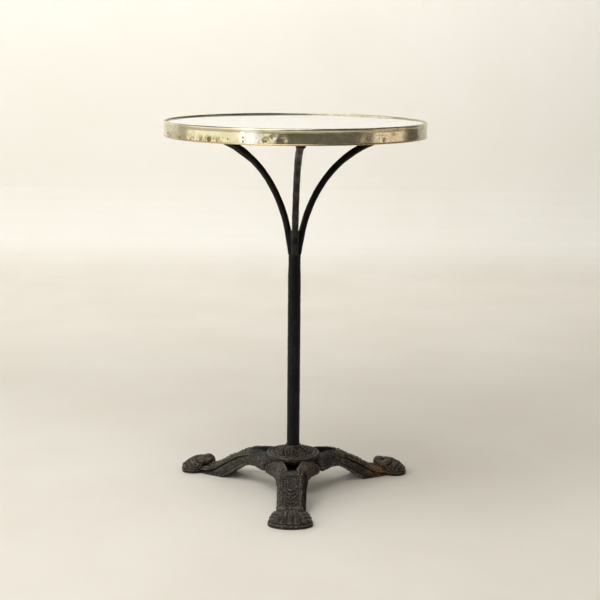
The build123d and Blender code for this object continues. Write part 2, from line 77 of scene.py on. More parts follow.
TOP_HEIGHT, BAND_BOTTOM = highest("rim_band"), lowest("rim_band")
BAND_RADIUS = (highest("rim_band", 0) - lowest("rim_band", 0)) / 2
GLASS_TOP, GLASS_BOTTOM = highest("glass_top"), lowest("glass_top")
GLASS_RADIUS = highest("glass_top", 0)
BOARD_TOP, BOARD_BOTTOM = highest("board_plank_middle"), lowest("board_plank_middle")
PLANK_EDGE = highest("board_plank_middle", 0)
BOARD_RADIUS = highest("board_plank_right", 0)
TUBE_TOP, TUBE_BOTTOM = highest("stem_tube"), lowest("stem_tube")
TUBE_RADIUS = highest("stem_tube", 0)
CORE_TOP = highest("junction_core")
CAP_TOP, CAP_RADIUS = highest("base_cap"), highest("base_cap", 0)
FOOT_REACH = -lowest("leg_front", 1)
PLATE_TOP, PLATE_BOTTOM = highest("clamp_plate"), lowest("clamp_plate")
PLATE_RADIUS = highest("clamp_plate", 0)
WASHER_BOTTOM, WASHER_RADIUS = lowest("clamp_washer"), highest("clamp_washer", 0)
NUT_BOTTOM = lowest("clamp_nut")
NUT_FLATS = highest("clamp_nut", 1) - lowest("clamp_nut", 1)
THREAD_END = lowest("stem_foot")

LEG_AZIMUTHS = {"front": 0.0, "right": 120.0, "left": -120.0}
BRANCH_AZIMUTHS = {"front": 3.5, "right": 117.0, "left": -123.0}
BRANCH_SWELLING = {"front": 0.9, "right": 0.5, "left": 1.5}
ROD_RADIUS = 6.5
NECK_RADIUS = 12.0
STEM_BORE = 9.0
THREAD_RADIUS = 8.0
THREAD_BORE = 8.3

# ---------------------------------------------------------------- numbers


def fade(value, start, end):
    """A smooth rise from 0 at start to 1 at end."""
    t = np.clip((value - start) / (end - start), 0.0, 1.0)
    return t * t * (3 - 2 * t)


def bell(value, centre, width):
    """A smooth hump of height 1."""
    return np.exp(-(((value - centre) / width) ** 2))


def window(value, start, full, leave, end):
    """A smooth rise from 0 at start to 1 at full, and a fall from 1 at leave to 0 at end."""
    return fade(value, start, full) * (1 - fade(value, leave, end))


def wave(phase):
    """A wave between 0 and 1, with its crests at whole phases."""
    return 0.5 + 0.5 * np.cos(TURN * phase)


def largest(*fields):
    """The sharp intersection of fields."""
    total = fields[0]
    for field in fields[1:]:
        total = np.maximum(total, field)
    return total


def blend_max(a, b, radius):
    """The larger of two fields, with the corner rounded: a rounded intersection."""
    h = np.clip(0.5 + 0.5 * (a - b) / radius, 0.0, 1.0)
    return b + (a - b) * h + radius * h * (1 - h)


def blend_min(a, b, radius):
    """The smaller of two fields, with the corner filled: a filleted union."""
    return -blend_max(-a, -b, radius)


def curve_through(points, x):
    """A smooth curve through a few given points, and its slope, at every x."""
    px, py = np.array(points, float).T
    secant = np.diff(py) / np.diff(px)
    slope = np.concatenate([[secant[0]], (secant[:-1] + secant[1:]) / 2, [secant[-1]]])
    x = np.clip(x, px[0], px[-1])
    i = np.clip(np.searchsorted(px, x) - 1, 0, len(px) - 2)
    gap = px[i + 1] - px[i]
    t = (x - px[i]) / gap
    a, b, c, d = py[i], gap * slope[i], py[i + 1], gap * slope[i + 1]
    value = a * (2 * t**3 - 3 * t**2 + 1) + b * (t**3 - 2 * t**2 + t)
    value = value + c * (3 * t**2 - 2 * t**3) + d * (t**3 - t**2)
    rate = (a - c) * (6 * t**2 - 6 * t) + b * (3 * t**2 - 4 * t + 1) + d * (3 * t**2 - 2 * t)
    return value, rate / gap


def roughness_field(x, y, z, size, terms=9, seed=1):
    """A soft irregular field between about -1 and 1, whose lumps are about the given size."""
    source = np.random.default_rng(seed)
    total = 0.0
    for _ in range(terms):
        a, b, c = source.normal(size=3)
        scale = source.uniform(0.6, 1.5) * TURN / size / math.sqrt(a * a + b * b + c * c)
        total = total + np.sin(scale * (a * x + b * y + c * z) + source.uniform(0, 6.28))
    return total / math.sqrt(terms)


# ---------------------------------------------------------------- meshes


def make_object(name, points_mm, faces, smooth=True):
    """A mesh object from points in millimetres."""
    mesh = bpy.data.meshes.new(name)
    faces = [list(map(int, face)) for face in faces]
    mesh.from_pydata((np.asarray(points_mm, float) * MM).tolist(), [], faces)
    mesh.validate()
    mesh.polygons.foreach_set("use_smooth", [smooth] * len(mesh.polygons))
    mesh.update()
    piece = bpy.data.objects.new(name, mesh)
    bpy.context.scene.collection.objects.link(piece)
    return piece


def grid_faces(rows, columns, wrap_rows=False, wrap_columns=False):
    """The four-sided faces of a grid of points stored row by row."""
    last_row = rows if wrap_rows else rows - 1
    last_column = columns if wrap_columns else columns - 1
    i, j = np.meshgrid(np.arange(last_row), np.arange(last_column), indexing="ij")
    i, j = i.ravel(), j.ravel()
    row, next_row = i * columns, (i + 1) % rows * columns
    next_j = (j + 1) % columns
    return np.stack([row + j, row + next_j, next_row + next_j, next_row + j], 1)


def surface_nets(field, low, step):
    """The surface where a sampled field is zero, as points and quads. The field is negative inside."""
    inside = field < 0
    size = np.array(field.shape) - 1
    corners = np.stack(np.meshgrid([0, 1], [0, 1], [0, 1], indexing="ij"), -1).reshape(-1, 3)
    count = np.zeros(size, np.int8)
    for a, b, c in corners:
        count += inside[a : size[0] + a, b : size[1] + b, c : size[2] + c]
    active = (count > 0) & (count < 8)
    cells = np.argwhere(active)
    number = np.full(size, -1, np.int64)
    number[active] = np.arange(len(cells))
    total = np.zeros((len(cells), 3))
    hits = np.zeros(len(cells))
    for a in corners:
        for b in corners:
            if (b - a).sum() != 1 or (b - a).min() < 0:
                continue
            fa = field[tuple((cells + a).T)]
            fb = field[tuple((cells + b).T)]
            crossed = (fa < 0) != (fb < 0)
            share = fa[crossed] / (fa[crossed] - fb[crossed])
            total[crossed] += a + share[:, None] * (b - a)
            hits[crossed] += 1
    points = np.array(low) + step * (cells + total / hits[:, None])
    faces = []
    for axis in range(3):
        u, v = (axis + 1) % 3, (axis + 2) % 3
        ahead = np.moveaxis(inside, axis, 0)
        change = np.moveaxis(ahead[1:] != ahead[:-1], 0, axis)
        at = np.argwhere(change)
        at = at[(at[:, u] > 0) & (at[:, v] > 0) & (at[:, u] < size[u]) & (at[:, v] < size[v])]
        back_u, back_v = np.eye(3, dtype=int)[[u, v]]
        shifts = (0 * back_u, back_u, back_u + back_v, back_v)
        quad = np.stack([number[tuple((at - shift).T)] for shift in shifts], 1)
        leaving = inside[tuple(at.T)]
        quad[~leaving] = quad[~leaving][:, ::-1]
        faces.append(quad)
    return points, np.concatenate(faces)


def field_mesh(function, low, high, step):
    """Points and faces of the body that a field function describes inside a box."""
    low, high = np.array(low, float) - 2 * step, np.array(high, float) + 2 * step
    axes = [np.arange(low[i], high[i], step, dtype=np.float32) for i in range(3)]
    field = np.broadcast_to(function(*np.ix_(*axes)), [len(axis) for axis in axes])
    return surface_nets(np.asarray(field, np.float32), low, step)


def spun(points, angle):
    """Points turned about the Z axis by an angle in radians."""
    c, s = math.cos(angle), math.sin(angle)
    x, y, z = np.asarray(points, float).T
    return np.stack([x * c - y * s, x * s + y * c, z], 1)


def turned(points, azimuth):
    """Points made along +X, turned about the stem to an azimuth."""
    return spun(points, math.radians(azimuth - 90))


def towards(x, y, azimuth):
    """How far points lie out along an azimuth, and how far to its side."""
    a = math.radians(azimuth)
    return x * math.sin(a) - y * math.cos(a), x * math.cos(a) + y * math.sin(a)


def joined(parts):
    """Several (points, faces) pairs as one pair."""
    offset, points, faces = 0, [], []
    for p, f in parts:
        points.append(np.asarray(p, float))
        faces += [[index + offset for index in face] for face in f]
        offset += len(p)
    return np.concatenate(points), faces


def revolved(profile, segments, wobble=None):
    """A closed outline of (radius, height) turned about the stem; wobble may change both."""
    profile = np.array(profile, float)
    angle = np.linspace(0, TURN, segments, endpoint=False)
    radius = np.repeat(profile[None, :, 0], segments, 0)
    height = np.repeat(profile[None, :, 1], segments, 0)
    azimuth = np.repeat(angle[:, None], len(profile), 1)
    if wobble is not None:
        radius, height = wobble(radius, height, azimuth)
    points = np.stack([radius * np.sin(azimuth), -radius * np.cos(azimuth), height], 2).reshape(-1, 3)
    return points, grid_faces(segments, len(profile), True, True)


def arc_points(centre, radius, start, end, count):
    """Points of an arc in the plane of radius and height; angles in degrees from the outward direction."""
    angles = np.radians(np.linspace(start, end, count))
    return [(centre[0] + radius * math.cos(a), centre[1] + radius * math.sin(a)) for a in angles]


def spaced(points, gap):
    """The same closed outline with its long runs divided."""
    result = []
    for a, b in zip(points, points[1:] + points[:1]):
        steps = max(1, int(math.dist(a, b) / gap))
        result += [tuple(p + (q - p) * k / steps for p, q in zip(a, b)) for k in range(steps)]
    return result


def piece(name, mesh, slot, material, *nodes, smooth=True):
    """A finished piece: made, given its material, riding on the one body and standing for its CAD nodes."""
    made = make_object(name, *mesh, smooth=smooth)
    made.data.materials.append(material)
    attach(made, "root")
    for node in nodes:
        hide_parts(node)


# ---------------------------------------------------------------- materials


class Look:
    """A procedural material on one Principled shader, with its coordinates in millimetres."""

    def __init__(self, name, **uniform):
        self.material = bpy.data.materials.new(name)
        self.material.use_nodes = True
        self.tree = self.material.node_tree
        self.tree.nodes.clear()
        self.shader = self.tree.nodes.new("ShaderNodeBsdfPrincipled")
        output = self.tree.nodes.new("ShaderNodeOutputMaterial")
        self.tree.links.new(self.shader.outputs[0], output.inputs[0])
        for socket, value in uniform.items():
            self.shader.inputs[socket.replace("_", " ")].default_value = value
        place = self.node("ShaderNodeTexCoord", output="Object")
        self.place = self.node("ShaderNodeVectorMath", {0: place, 1: (1 / MM,) * 3}, operation="MULTIPLY")
        self.colour = None

    def node(self, kind, inputs=None, output=0, **settings):
        """A node's output socket, after its settings and inputs are given."""
        made = self.tree.nodes.new(kind)
        for key, value in settings.items():
            setattr(made, key, value)
        for key, value in (inputs or {}).items():
            if isinstance(value, bpy.types.NodeSocket):
                self.tree.links.new(value, made.inputs[key])
            else:
                made.inputs[key].default_value = value
        return made.outputs[output]

    def axis(self, number):
        """One coordinate in millimetres."""
        return self.node("ShaderNodeSeparateXYZ", {0: self.place}, number)

    def noise(self, size, detail=3.0, roughness=0.55, stretch=(1, 1, 1), shift=0.0):
        """Noise whose lumps are about the given size in millimetres."""
        scale = tuple(1 / (size * s) for s in stretch)
        at = self.node("ShaderNodeMapping", {"Vector": self.place, "Location": (shift,) * 3, "Scale": scale})
        inputs = {"Vector": at, "Scale": 1.0, "Detail": detail, "Roughness": roughness}
        return self.node("ShaderNodeTexNoise", inputs)

    def math(self, operation, a, b=0.0):
        """A math node."""
        return self.node("ShaderNodeMath", {0: a, 1: b}, operation=operation)

    def times(self, *values):
        """The product of several values."""
        product = values[0]
        for value in values[1:]:
            product = self.math("MULTIPLY", product, value)
        return product

    def scaled(self, value, start, end, low, high, kind="LINEAR"):
        """A change from low to high as the value goes from start up to end."""
        inputs = {"Value": value, "From Min": start, "From Max": end, "To Min": low, "To Max": high}
        return self.node("ShaderNodeMapRange", inputs, interpolation_type=kind)

    def band(self, value, start, end):
        """A smooth rise from 0 to 1 as the value goes from start to end; falls if start is above end."""
        if start < end:
            return self.scaled(value, start, end, 0.0, 1.0, "SMOOTHSTEP")
        return self.scaled(value, end, start, 1.0, 0.0, "SMOOTHSTEP")

    def colours(self, value, *stops):
        """A colour ramp through (position, colour) stops."""
        made = self.tree.nodes.new("ShaderNodeValToRGB")
        ramp = made.color_ramp
        while len(ramp.elements) < len(stops):
            ramp.elements.new(0.5)
        for element, (position, colour) in zip(ramp.elements, stops):
            element.position = position
            element.color = (*colour, 1)
        self.tree.links.new(value, made.inputs[0])
        return made.outputs[0]

    def mix(self, share, a, b):
        """A colour mix: a where share is 0, b where it is 1."""
        a, b = (value if isinstance(value, bpy.types.NodeSocket) else (*value, 1) for value in (a, b))
        return self.node("ShaderNodeMix", {0: share, 6: a, 7: b}, 2, data_type="RGBA")

    def coat(self, colour, *shares):
        """Lays a colour over the one that is there, as strongly as the product of the shares."""
        self.colour = self.mix(self.times(*shares), self.colour, colour)

    def near(self, centre, radius, soft):
        """1 within a radius of a point in millimetres, fading to 0."""
        distance = self.node("ShaderNodeVectorMath", {0: self.place, 1: centre}, 1, operation="DISTANCE")
        return self.band(distance, radius + soft, radius)

    def bumps(self, *layers):
        """Bump from (height, depth in millimetres) layers, one over the other."""
        normal = None
        for height, depth in layers:
            inputs = {"Height": height, "Distance": depth * MM, "Strength": 1.0}
            if normal is not None:
                inputs["Normal"] = normal
            normal = self.node("ShaderNodeBump", inputs)
        self.tree.links.new(normal, self.shader.inputs["Normal"])

    def use(self, **sockets):
        """The material, once its colour and the sockets given are linked to the shader."""
        for name, value in {"Base_Color": self.colour, **sockets}.items():
            self.tree.links.new(value, self.shader.inputs[name.replace("_", " ")])
        return self.material

    def pointiness(self):
        """How far the surface sticks out, about 0.5 where it is flat."""
        return self.node("ShaderNodeNewGeometry", output=7)

    def up(self):
        """How far the surface faces up, from 0 to 1."""
        normal = self.node("ShaderNodeNewGeometry", output=1)
        return self.math("MAXIMUM", self.node("ShaderNodeSeparateXYZ", {0: normal}, 2), 0.0)


def cast_iron_look():
    """Brown-black cast iron with rubbed high spots and a little rust; painted shade darkens its hollows,
    beside the cap and on the right flank of the front leg.
    """
    look = Look("cast_iron", Metallic=0.1, IOR=1.45)
    broad = look.noise(46, 4)
    middle = look.noise(9, 5, 0.68, shift=3.1)
    grain = look.noise(1.9, 3, 0.7)
    look.colour = look.colours(
        look.math("ADD", look.times(broad, 0.35), look.times(middle, 0.65)),
        (0.39, (0.0030, 0.0026, 0.0024)),
        (0.46, (0.0085, 0.0068, 0.0056)),
        (0.54, (0.030, 0.0235, 0.0185)),
        (0.62, (0.105, 0.082, 0.063)),
    )
    point = look.pointiness()
    worn = look.band(look.noise(6, 5, 0.65, shift=7.7), 0.40, 0.56)
    look.coat((0.240, 0.188, 0.146), look.band(point, 0.503, 0.530), worn, 0.65)
    # Painted shade: near black where the surface dips in, darkening hollows and creases.
    look.coat((0.003, 0.0026, 0.0023), look.band(point, 0.496, 0.478))
    # Painted shade: ambient occlusion darkens the notch, the seams, the gap under the rim and other
    # recesses.
    hollow = look.node("ShaderNodeAmbientOcclusion", {"Distance": 0.008}, 1, samples=6)
    look.coat((0.0025, 0.0022, 0.002), look.band(hollow, 0.82, 0.42))
    look.coat((0.150, 0.120, 0.095), look.band(grain, 0.56, 0.70), 0.30)
    dust = look.band(look.noise(6, 4, shift=9), 0.42, 0.66)
    look.coat((0.175, 0.150, 0.120), look.math("POWER", look.up(), 2.0), dust, 0.22)
    rust_spots = look.band(look.noise(15, 5, 0.65, shift=5.5), 0.58, 0.70)
    look.coat((0.100, 0.042, 0.018), rust_spots, 0.45)
    foot_rust = look.band(look.noise(7, 5, 0.7, shift=1.2), 0.42, 0.60)
    look.coat((0.30, 0.135, 0.035), look.near((170.0, 72.0, 10.0), 8.0, 24.0), foot_rust, 0.85)
    notch_rust = look.band(look.noise(4, 4, 0.7, shift=6.2), 0.42, 0.60)
    look.coat((0.20, 0.09, 0.035), look.near((-14.5, -76.0, 66.0), 3.0, 6.0), notch_rust, 0.7)
    green = look.near((-112.0, 36.0, 34.0), 30.0, 48.0)
    look.coat((0.056, 0.066, 0.042), green, look.band(middle, 0.38, 0.60), 0.6)
    # Painted shade: near-black, slightly blue patches on the side legs' roots on either side of the cap.
    painted_shade_beside_cap = [look.near((side * 58.0, 26.0, 67.0), 20.0, 14.0) for side in (-1, 1)]
    look.coat((0.006, 0.006, 0.007), look.math("MAXIMUM", *painted_shade_beside_cap), 0.88)
    # Painted shade: the right flank of the front leg's shaft is darkened, and its specular level lowered
    # below.
    shaft = look.times(look.band(look.axis(1), -84.0, -104.0), look.band(look.axis(1), -204.0, -186.0))
    painted_shade_flank = look.times(look.band(look.axis(0), 17.5, 24.0), shaft)
    look.coat((0.005, 0.0045, 0.004), painted_shade_flank, 0.8)
    look.coat((0.006, 0.005, 0.0045), look.band(look.axis(2), 8.0, 5.0), look.band(middle, 0.66, 0.44), 0.85)
    look.bumps((look.noise(4.2, 4, 0.6, shift=2), 1.6), (grain, 0.6))
    sheen = look.math("SUBTRACT", 0.40, look.times(painted_shade_flank, 0.36))
    return look.use(Roughness=look.scaled(middle, 0.3, 0.7, 0.38, 0.70), Specular_IOR_Level=sheen)


def black_iron_look(name="black_iron", warm=0.0):
    """Old black paint on hammered iron: satin, rubbed to brown in places."""
    look = Look(name, Metallic=0.0, IOR=1.45, Specular_IOR_Level=0.16)
    patches = look.noise(24, 5, 0.6, stretch=(1, 1, 2.2))
    fine = look.noise(3.0, 4, 0.65)
    dents = look.noise(8.5, 2, 0.5, stretch=(1, 1, 1.5), shift=4)
    look.colour = look.colours(
        patches,
        (0.35, (0.003, 0.003, 0.0035)),
        (0.52, (0.0055 + 0.018 * warm, 0.0052 + 0.014 * warm, 0.0054 + 0.010 * warm)),
        (0.70, (0.012 + 0.050 * warm, 0.0105 + 0.0405 * warm, 0.009 + 0.032 * warm)),
    )
    look.coat((0.075, 0.058, 0.044), look.band(fine, 0.56, 0.70), look.band(patches, 0.45, 0.62), 0.55)
    look.coat((0.07, 0.06, 0.052), look.band(look.pointiness(), 0.52, 0.60), 0.5)
    look.bumps((dents, 0.9), (fine, 0.16), (look.noise(0.9, 2), 0.05))
    return look.use(Roughness=look.scaled(fine, 0.3, 0.7, 0.30, 0.56))


def band_look():
    """Nickel plate over brass: worn, yellow where the plate is thin, brown where it is stained; with a
    painted highlight beside the lap and painted shade on the back of the crest and on the inner wall.
    """
    look = Look("nickel_band", Metallic=1.0)
    height = look.axis(2)
    flat = look.node("ShaderNodeVectorMath", {0: look.place, 1: (1, 1, 0)}, operation="MULTIPLY")
    reach = look.node("ShaderNodeVectorMath", {0: flat}, 1, operation="LENGTH")
    cloud = look.noise(30, 5, 0.6, stretch=(1, 1, 0.6))
    blotch = look.noise(7.5, 5, 0.68, shift=3)
    speck = look.noise(2.6, 4, 0.7, shift=8)
    look.colour = look.colours(
        cloud, (0.36, (0.58, 0.53, 0.35)), (0.50, (0.71, 0.65, 0.46)), (0.64, (0.84, 0.79, 0.62))
    )
    look.coat((0.60, 0.49, 0.27), look.band(blotch, 0.50, 0.66), look.band(cloud, 0.40, 0.62), 0.55)
    look.coat((0.50, 0.465, 0.32), look.near((-160.0, -190.0, 712.0), 60.0, 26.0), 0.82)
    # Painted highlight: a soft near-white patch on the band beside the lap.
    look.coat((0.94, 0.93, 0.88), look.near((-76.0, -238.0, 713.0), 6.0, 22.0), 0.85)
    left = look.near((-196.0, -160.0, 712.0), 70.0, 50.0)
    right = look.near((168.0, -190.0, 714.0), 46.0, 40.0)
    low = look.band(height, BAND_BOTTOM + 18, BAND_BOTTOM + 6)
    drips = look.band(look.noise(6.5, 4, 0.7, stretch=(1, 1, 2.4), shift=8), 0.47, 0.62)
    stain = look.times(left, drips, low, 0.85)
    tan = look.times(right, look.band(speck, 0.44, 0.62))
    look.coat((0.46, 0.32, 0.18), tan, 0.55)
    turning = look.near((211.0, -134.0, 712.0), 12.0, 20.0)
    look.coat((0.40, 0.29, 0.14), turning, look.band(speck, 0.30, 0.56), 0.6)
    look.coat((0.24, 0.155, 0.06), stain)
    edge = look.band(height, BAND_BOTTOM + 5, BAND_BOTTOM + 1.5)
    look.coat((0.30, 0.20, 0.09), edge, look.band(speck, 0.42, 0.62), 0.7)
    look.coat((0.48, 0.35, 0.17), look.band(height, BAND_BOTTOM + 3.2, BAND_BOTTOM + 1.6), 0.8)
    # Painted shade: the top of the bead darkened olive towards the back.
    crest = look.band(height, TOP_HEIGHT - 1.9, TOP_HEIGHT - 0.9)
    look.coat((0.13, 0.13, 0.07), crest, look.band(look.axis(1), 80.0, -60.0), 0.75)
    # Painted shade: the band's inner wall above the glass darkened, more strongly towards the left.
    inside = look.band(reach, GLASS_RADIUS + 2.2, GLASS_RADIUS + 1.2)
    below = look.band(height, TOP_HEIGHT - 0.3, TOP_HEIGHT - 0.8)
    painted_inner_wall_shade = look.math("ADD", look.times(look.band(look.axis(0), 60.0, -90.0), 0.5), 0.42)
    look.coat((0.12, 0.10, 0.045), inside, below, painted_inner_wall_shade)
    scratches = look.noise(1.1, 3, 0.7, stretch=(9, 9, 0.5))
    rough = look.math("ADD", look.times(blotch, 0.24), look.times(scratches, 0.10))
    rough = look.math("ADD", rough, look.times(look.math("MAXIMUM", stain, tan), 0.25))
    look.bumps((look.noise(16, 3), 0.5), (speck, 0.03), (scratches, 0.02))
    return look.use(Roughness=rough)


def glass_look():
    """White opaline glass, polished, with faint rubbing and scratches from use."""
    look = Look("opal_glass", IOR=1.5, Coat_Weight=0.3, Coat_Roughness=0.04, Coat_IOR=1.5)
    cloud = look.noise(70, 3)
    look.colour = look.colours(cloud, (0.35, (0.80, 0.835, 0.855)), (0.65, (0.83, 0.86, 0.875)))
    scratches = look.noise(0.8, 2, 0.6, stretch=(28, 1, 1))
    crossing = look.noise(0.8, 2, 0.6, stretch=(1, 30, 1), shift=6)
    marks = look.math("MAXIMUM", look.band(scratches, 0.66, 0.74), look.band(crossing, 0.66, 0.74))
    specks = look.band(look.noise(2.4, 3, 0.7, shift=11), 0.72, 0.77)
    look.coat((0.55, 0.52, 0.44), specks, 0.25)
    smear = look.band(look.noise(34, 5, 0.65, shift=2), 0.42, 0.70)
    rough = look.math("ADD", look.times(smear, 0.05), look.times(marks, 0.10))
    look.bumps((look.noise(90, 1), 0.03), (marks, 0.002))
    return look.use(Roughness=look.math("ADD", rough, 0.05))


def wood_look():
    """Bare softwood that has darkened with age, with its grain along Y."""
    look = Look("old_softwood", IOR=1.45)
    wander = look.noise(60, 2, stretch=(1, 3, 1))
    rings = look.math("SINE", look.math("ADD", look.times(look.axis(0), 0.55), look.times(wander, 34.0)))
    late = look.band(rings, 0.1, 0.95)
    fibre = look.noise(1.5, 4, 0.7, stretch=(1, 26, 1))
    stain = look.noise(80, 4, 0.6, shift=4)
    look.colour = look.mix(late, (0.250, 0.150, 0.078), (0.135, 0.072, 0.034))
    look.coat((0.300, 0.190, 0.105), look.band(fibre, 0.35, 0.68))
    look.coat((0.070, 0.042, 0.024), look.band(stain, 0.45, 0.70), 0.6)
    look.bumps((late, 0.12), (fibre, 0.20))
    return look.use(Roughness=look.scaled(fibre, 0.3, 0.7, 0.62, 0.85))


def felt_look():
    """Dark green pressed felt."""
    look = Look("felt", Roughness=0.95, Sheen_Weight=0.3)
    fuzz = look.noise(0.9, 4, 0.75)
    look.colour = look.colours(fuzz, (0.35, (0.030, 0.045, 0.028)), (0.65, (0.075, 0.098, 0.062)))
    look.bumps((fuzz, 0.4))
    return look.use()


def steel_look():
    """Dull grey steel with brown rust in patches."""
    look = Look("dull_steel", Metallic=0.85)
    patches = look.noise(9, 5, 0.65)
    fine = look.noise(1.2, 3, 0.7)
    look.colour = look.colours(
        patches, (0.38, (0.21, 0.20, 0.185)), (0.55, (0.14, 0.115, 0.09)), (0.68, (0.12, 0.055, 0.025))
    )
    look.bumps((patches, 0.15), (fine, 0.06))
    return look.use(Roughness=look.scaled(patches, 0.35, 0.65, 0.34, 0.78))


def brass_nail_look():
    """Tarnished brass nail heads."""
    look = Look("nail_brass", Metallic=0.95)
    spots = look.noise(1.6, 4, 0.65)
    look.colour = look.colours(
        spots, (0.38, (0.44, 0.33, 0.17)), (0.52, (0.25, 0.17, 0.08)), (0.66, (0.09, 0.06, 0.035))
    )
    look.bumps((spots, 0.10))
    return look.use(Roughness=look.scaled(spots, 0.35, 0.65, 0.30, 0.62))


# ---------------------------------------------------------------- legs

LEG_HALF_WIDTH = 28.3
WING_REACH = 125.0
WING_BEND = 160.5
FOOT_MIDDLE = 230.5
FOOT_BACK = 31.0
FOOT_HALF_WIDTH = 42.3
NOTCH = ((60.0, 17.5), (94.0, 9.3), (104.0, 9.3))
FAN_CENTRE = 212.0
DOT_CENTRE = 219.0
ROLL_CENTRE = (210.5, 14.0, 24.4)
ROLL_RADII = (12.3, 9.5, 5.4)
SCROLL_CENTRE = (213.0, 19.0)
SEAM_ANGLE = math.radians(59)
WEB_THICKNESS = 7.4
WALL_THICKNESS = 8.6
HUB_GAP_RADIUS = 17.5
SPIGOT_RADIUS = 47.4
HOLLOW_START = 62.0
HOLLOW_END = 196.0
SPIGOT_SEAT = 46.0
CAP_SEAT = 65.5
LUG_AT = (61.5 * math.cos(math.radians(51.5)), 61.5 * math.sin(math.radians(51.5)), 47.5)
LEG_TOP = (
    (30, 68.5), (54, 68.5), (64, 68.3), (76, 67.3), (88, 66.0), (97, 64.5), (106, 62.2), (114, 59.3),
    (122, 55.5), (134, 49.0), (147, 41.4), (157, 35.2), (166, 29.4), (175, 23.9), (184, 19.6), (194, 16.8),
    (208, 15.4), (262, 15.0),
)
FOOT_TOP = (
    (190, 22.0), (204, 25.2), (214, 27.2), (222, 28.2), (230, 27.6), (238, 25.2), (245, 21.4),
    (251, 16.0), (255.5, 9.8), (262, 0.0),
)
LEG_ARCH = (
    (60, 40.3), (74, 39.6), (88, 37.4), (100, 33.0), (114, 25.0), (130, 14.5), (146, 4.2),
    (153, 0.0), (160, 0.0),
)


def leg_width(x):
    """Half the width of a leg in plan, and its slope."""
    back = np.clip(WING_REACH - x, 0, WING_BEND - 10)
    side = np.sqrt(WING_BEND**2 - back**2)
    return LEG_HALF_WIDTH + WING_BEND - side, -back / side


def oval_field(x, y, middle, back, front, half):
    """About the distance to an oval in plan that is longer one way than the other."""
    along = x - middle
    reach = np.where(along < 0, back, front)
    q = np.sqrt((along / reach) ** 2 + (y / half) ** 2) + 1e-6
    return (q - 1) * q / np.sqrt((along / reach**2) ** 2 + (y / half**2) ** 2 + 1e-9)


def shaft_plan(x, y):
    """Distance to the plan outline of a leg without its foot: straight sides and a flared root."""
    width, slope = leg_width(x)
    return np.maximum((np.abs(y) - width) / np.sqrt(1 + slope**2), x - FOOT_MIDDLE)


def notch_field(x, y):
    """Distance to the tapered slot in the root of a leg."""
    (start, wide), (corner, narrow), (end, _) = NOTCH
    half = wide - (wide - narrow) * np.clip((x - start) / (corner - start), 0, 1)
    return blend_max(np.abs(y) - half, x - end, 2.0)


def leg_relief(x, y):
    """The height of the cast ornament on the upper face of a leg."""
    ay = np.abs(y)
    width, _ = leg_width(x)
    border = fade(ay, width - 7.0, width - 5.0) * fade(x, 96, 108)
    relief = fade(x, 92, 106) * (border - 1.0)
    relief = relief + 1.2 * fade(-notch_field(x, y), -5.5, -3.5) * (1 - fade(x, 104, 109))
    flutes = window(x, 62, 72, 104, 118) * fade(ay, 15, 22)
    relief = relief - 1.1 * flutes * wave((ay + 1.4 * np.sin(x / 9.0)) / 5.6)
    bar = fade(-np.abs(x - 111.5), -4.2, -2.8) * fade(-ay, -15, -13)
    groove = bell(x, 117.6, 1.6) * fade(-ay, -14, -11)
    relief = relief + 1.6 * bar - 2.2 * groove
    tab = np.sqrt(np.maximum(x - 129.0, 0) ** 2 + y**2) - 10.5
    tab = np.maximum(tab, 119.5 - x)
    relief = relief + 1.1 * fade(-tab, -0.4, 2.4) - 1.2 * fade(-tab, 3.0, 6.0) + 0.6 * fade(-tab, 6.0, 8.4)
    relief = relief + 0.5 * roughness_field(x, y, 0 * x, 6.5, 9, 71) * fade(x, 84, 96)
    column = fade(x, 140, 143) * fade(-ay, -14.0, -12.0)
    scale = (x + y * y / 14.0) / 8.4
    relief = relief + column * (0.2 + 3.0 * (scale - np.floor(scale)) ** 1.6)
    rails = fade(x, 124, 132) * bell(ay, 19.0, 1.4)
    leaves = fade(x, 118, 126) * wave((x - 0.6 * ay) / 9.0) * bell(ay, 17.5, 3.2)
    return relief + 0.5 * rails + 0.7 * leaves


def foot_relief(x, y, z):
    """The height of the flutes, plinth mouldings, dot and side scrolls on a foot."""
    spread = np.hypot(x - FAN_CENTRE, y)
    angle = np.arctan2(y, x - FAN_CENTRE)
    fan = fade(spread, 13, 16) * fade(x, 214, 219) * fade(z, 7.5, 9.5)
    middle = 1 - fade(np.abs(angle), 0.62, 0.80)
    uneven = 0.3 * np.sin(spread / 6.0) + 0.30 * roughness_field(x, y, 0 * x, 15, 6, 5)
    flute = np.abs(np.cos(angle * 9.5 + uneven)) ** 0.7
    sweep = wave((spread - 4.0 * np.abs(angle)) / 7.0)
    relief = fan * (middle * (2.5 * flute - 1.8) + (1 - middle) * (1.3 * sweep - 0.8))
    relief = relief - 1.8 * bell(z, 8.8, 1.2) + 0.6 * bell(z, 5.6, 1.6) - 1.0 * bell(z, 3.2, 0.8)
    from_dot = np.hypot(x - DOT_CENTRE, y)
    dot = np.clip(1 - from_dot**2 / 11.0, 0, 1) ** 0.5
    relief = relief + 2.6 * dot - 2.2 * bell(from_dot, 5.2, 1.6)
    out, up = x - SCROLL_CENTRE[0], z - SCROLL_CENTRE[1]
    away = np.hypot(out, up)
    curl = wave((away - 2.42 * np.arctan2(up, out) / math.pi) / 5.2)
    side = fade(np.abs(y), 21, 27) * (1 - fade(away, 12.5, 15.5)) * fade(z, 8, 11)
    return relief + side * (1.9 * curl - 1.2) * (1 - fan)


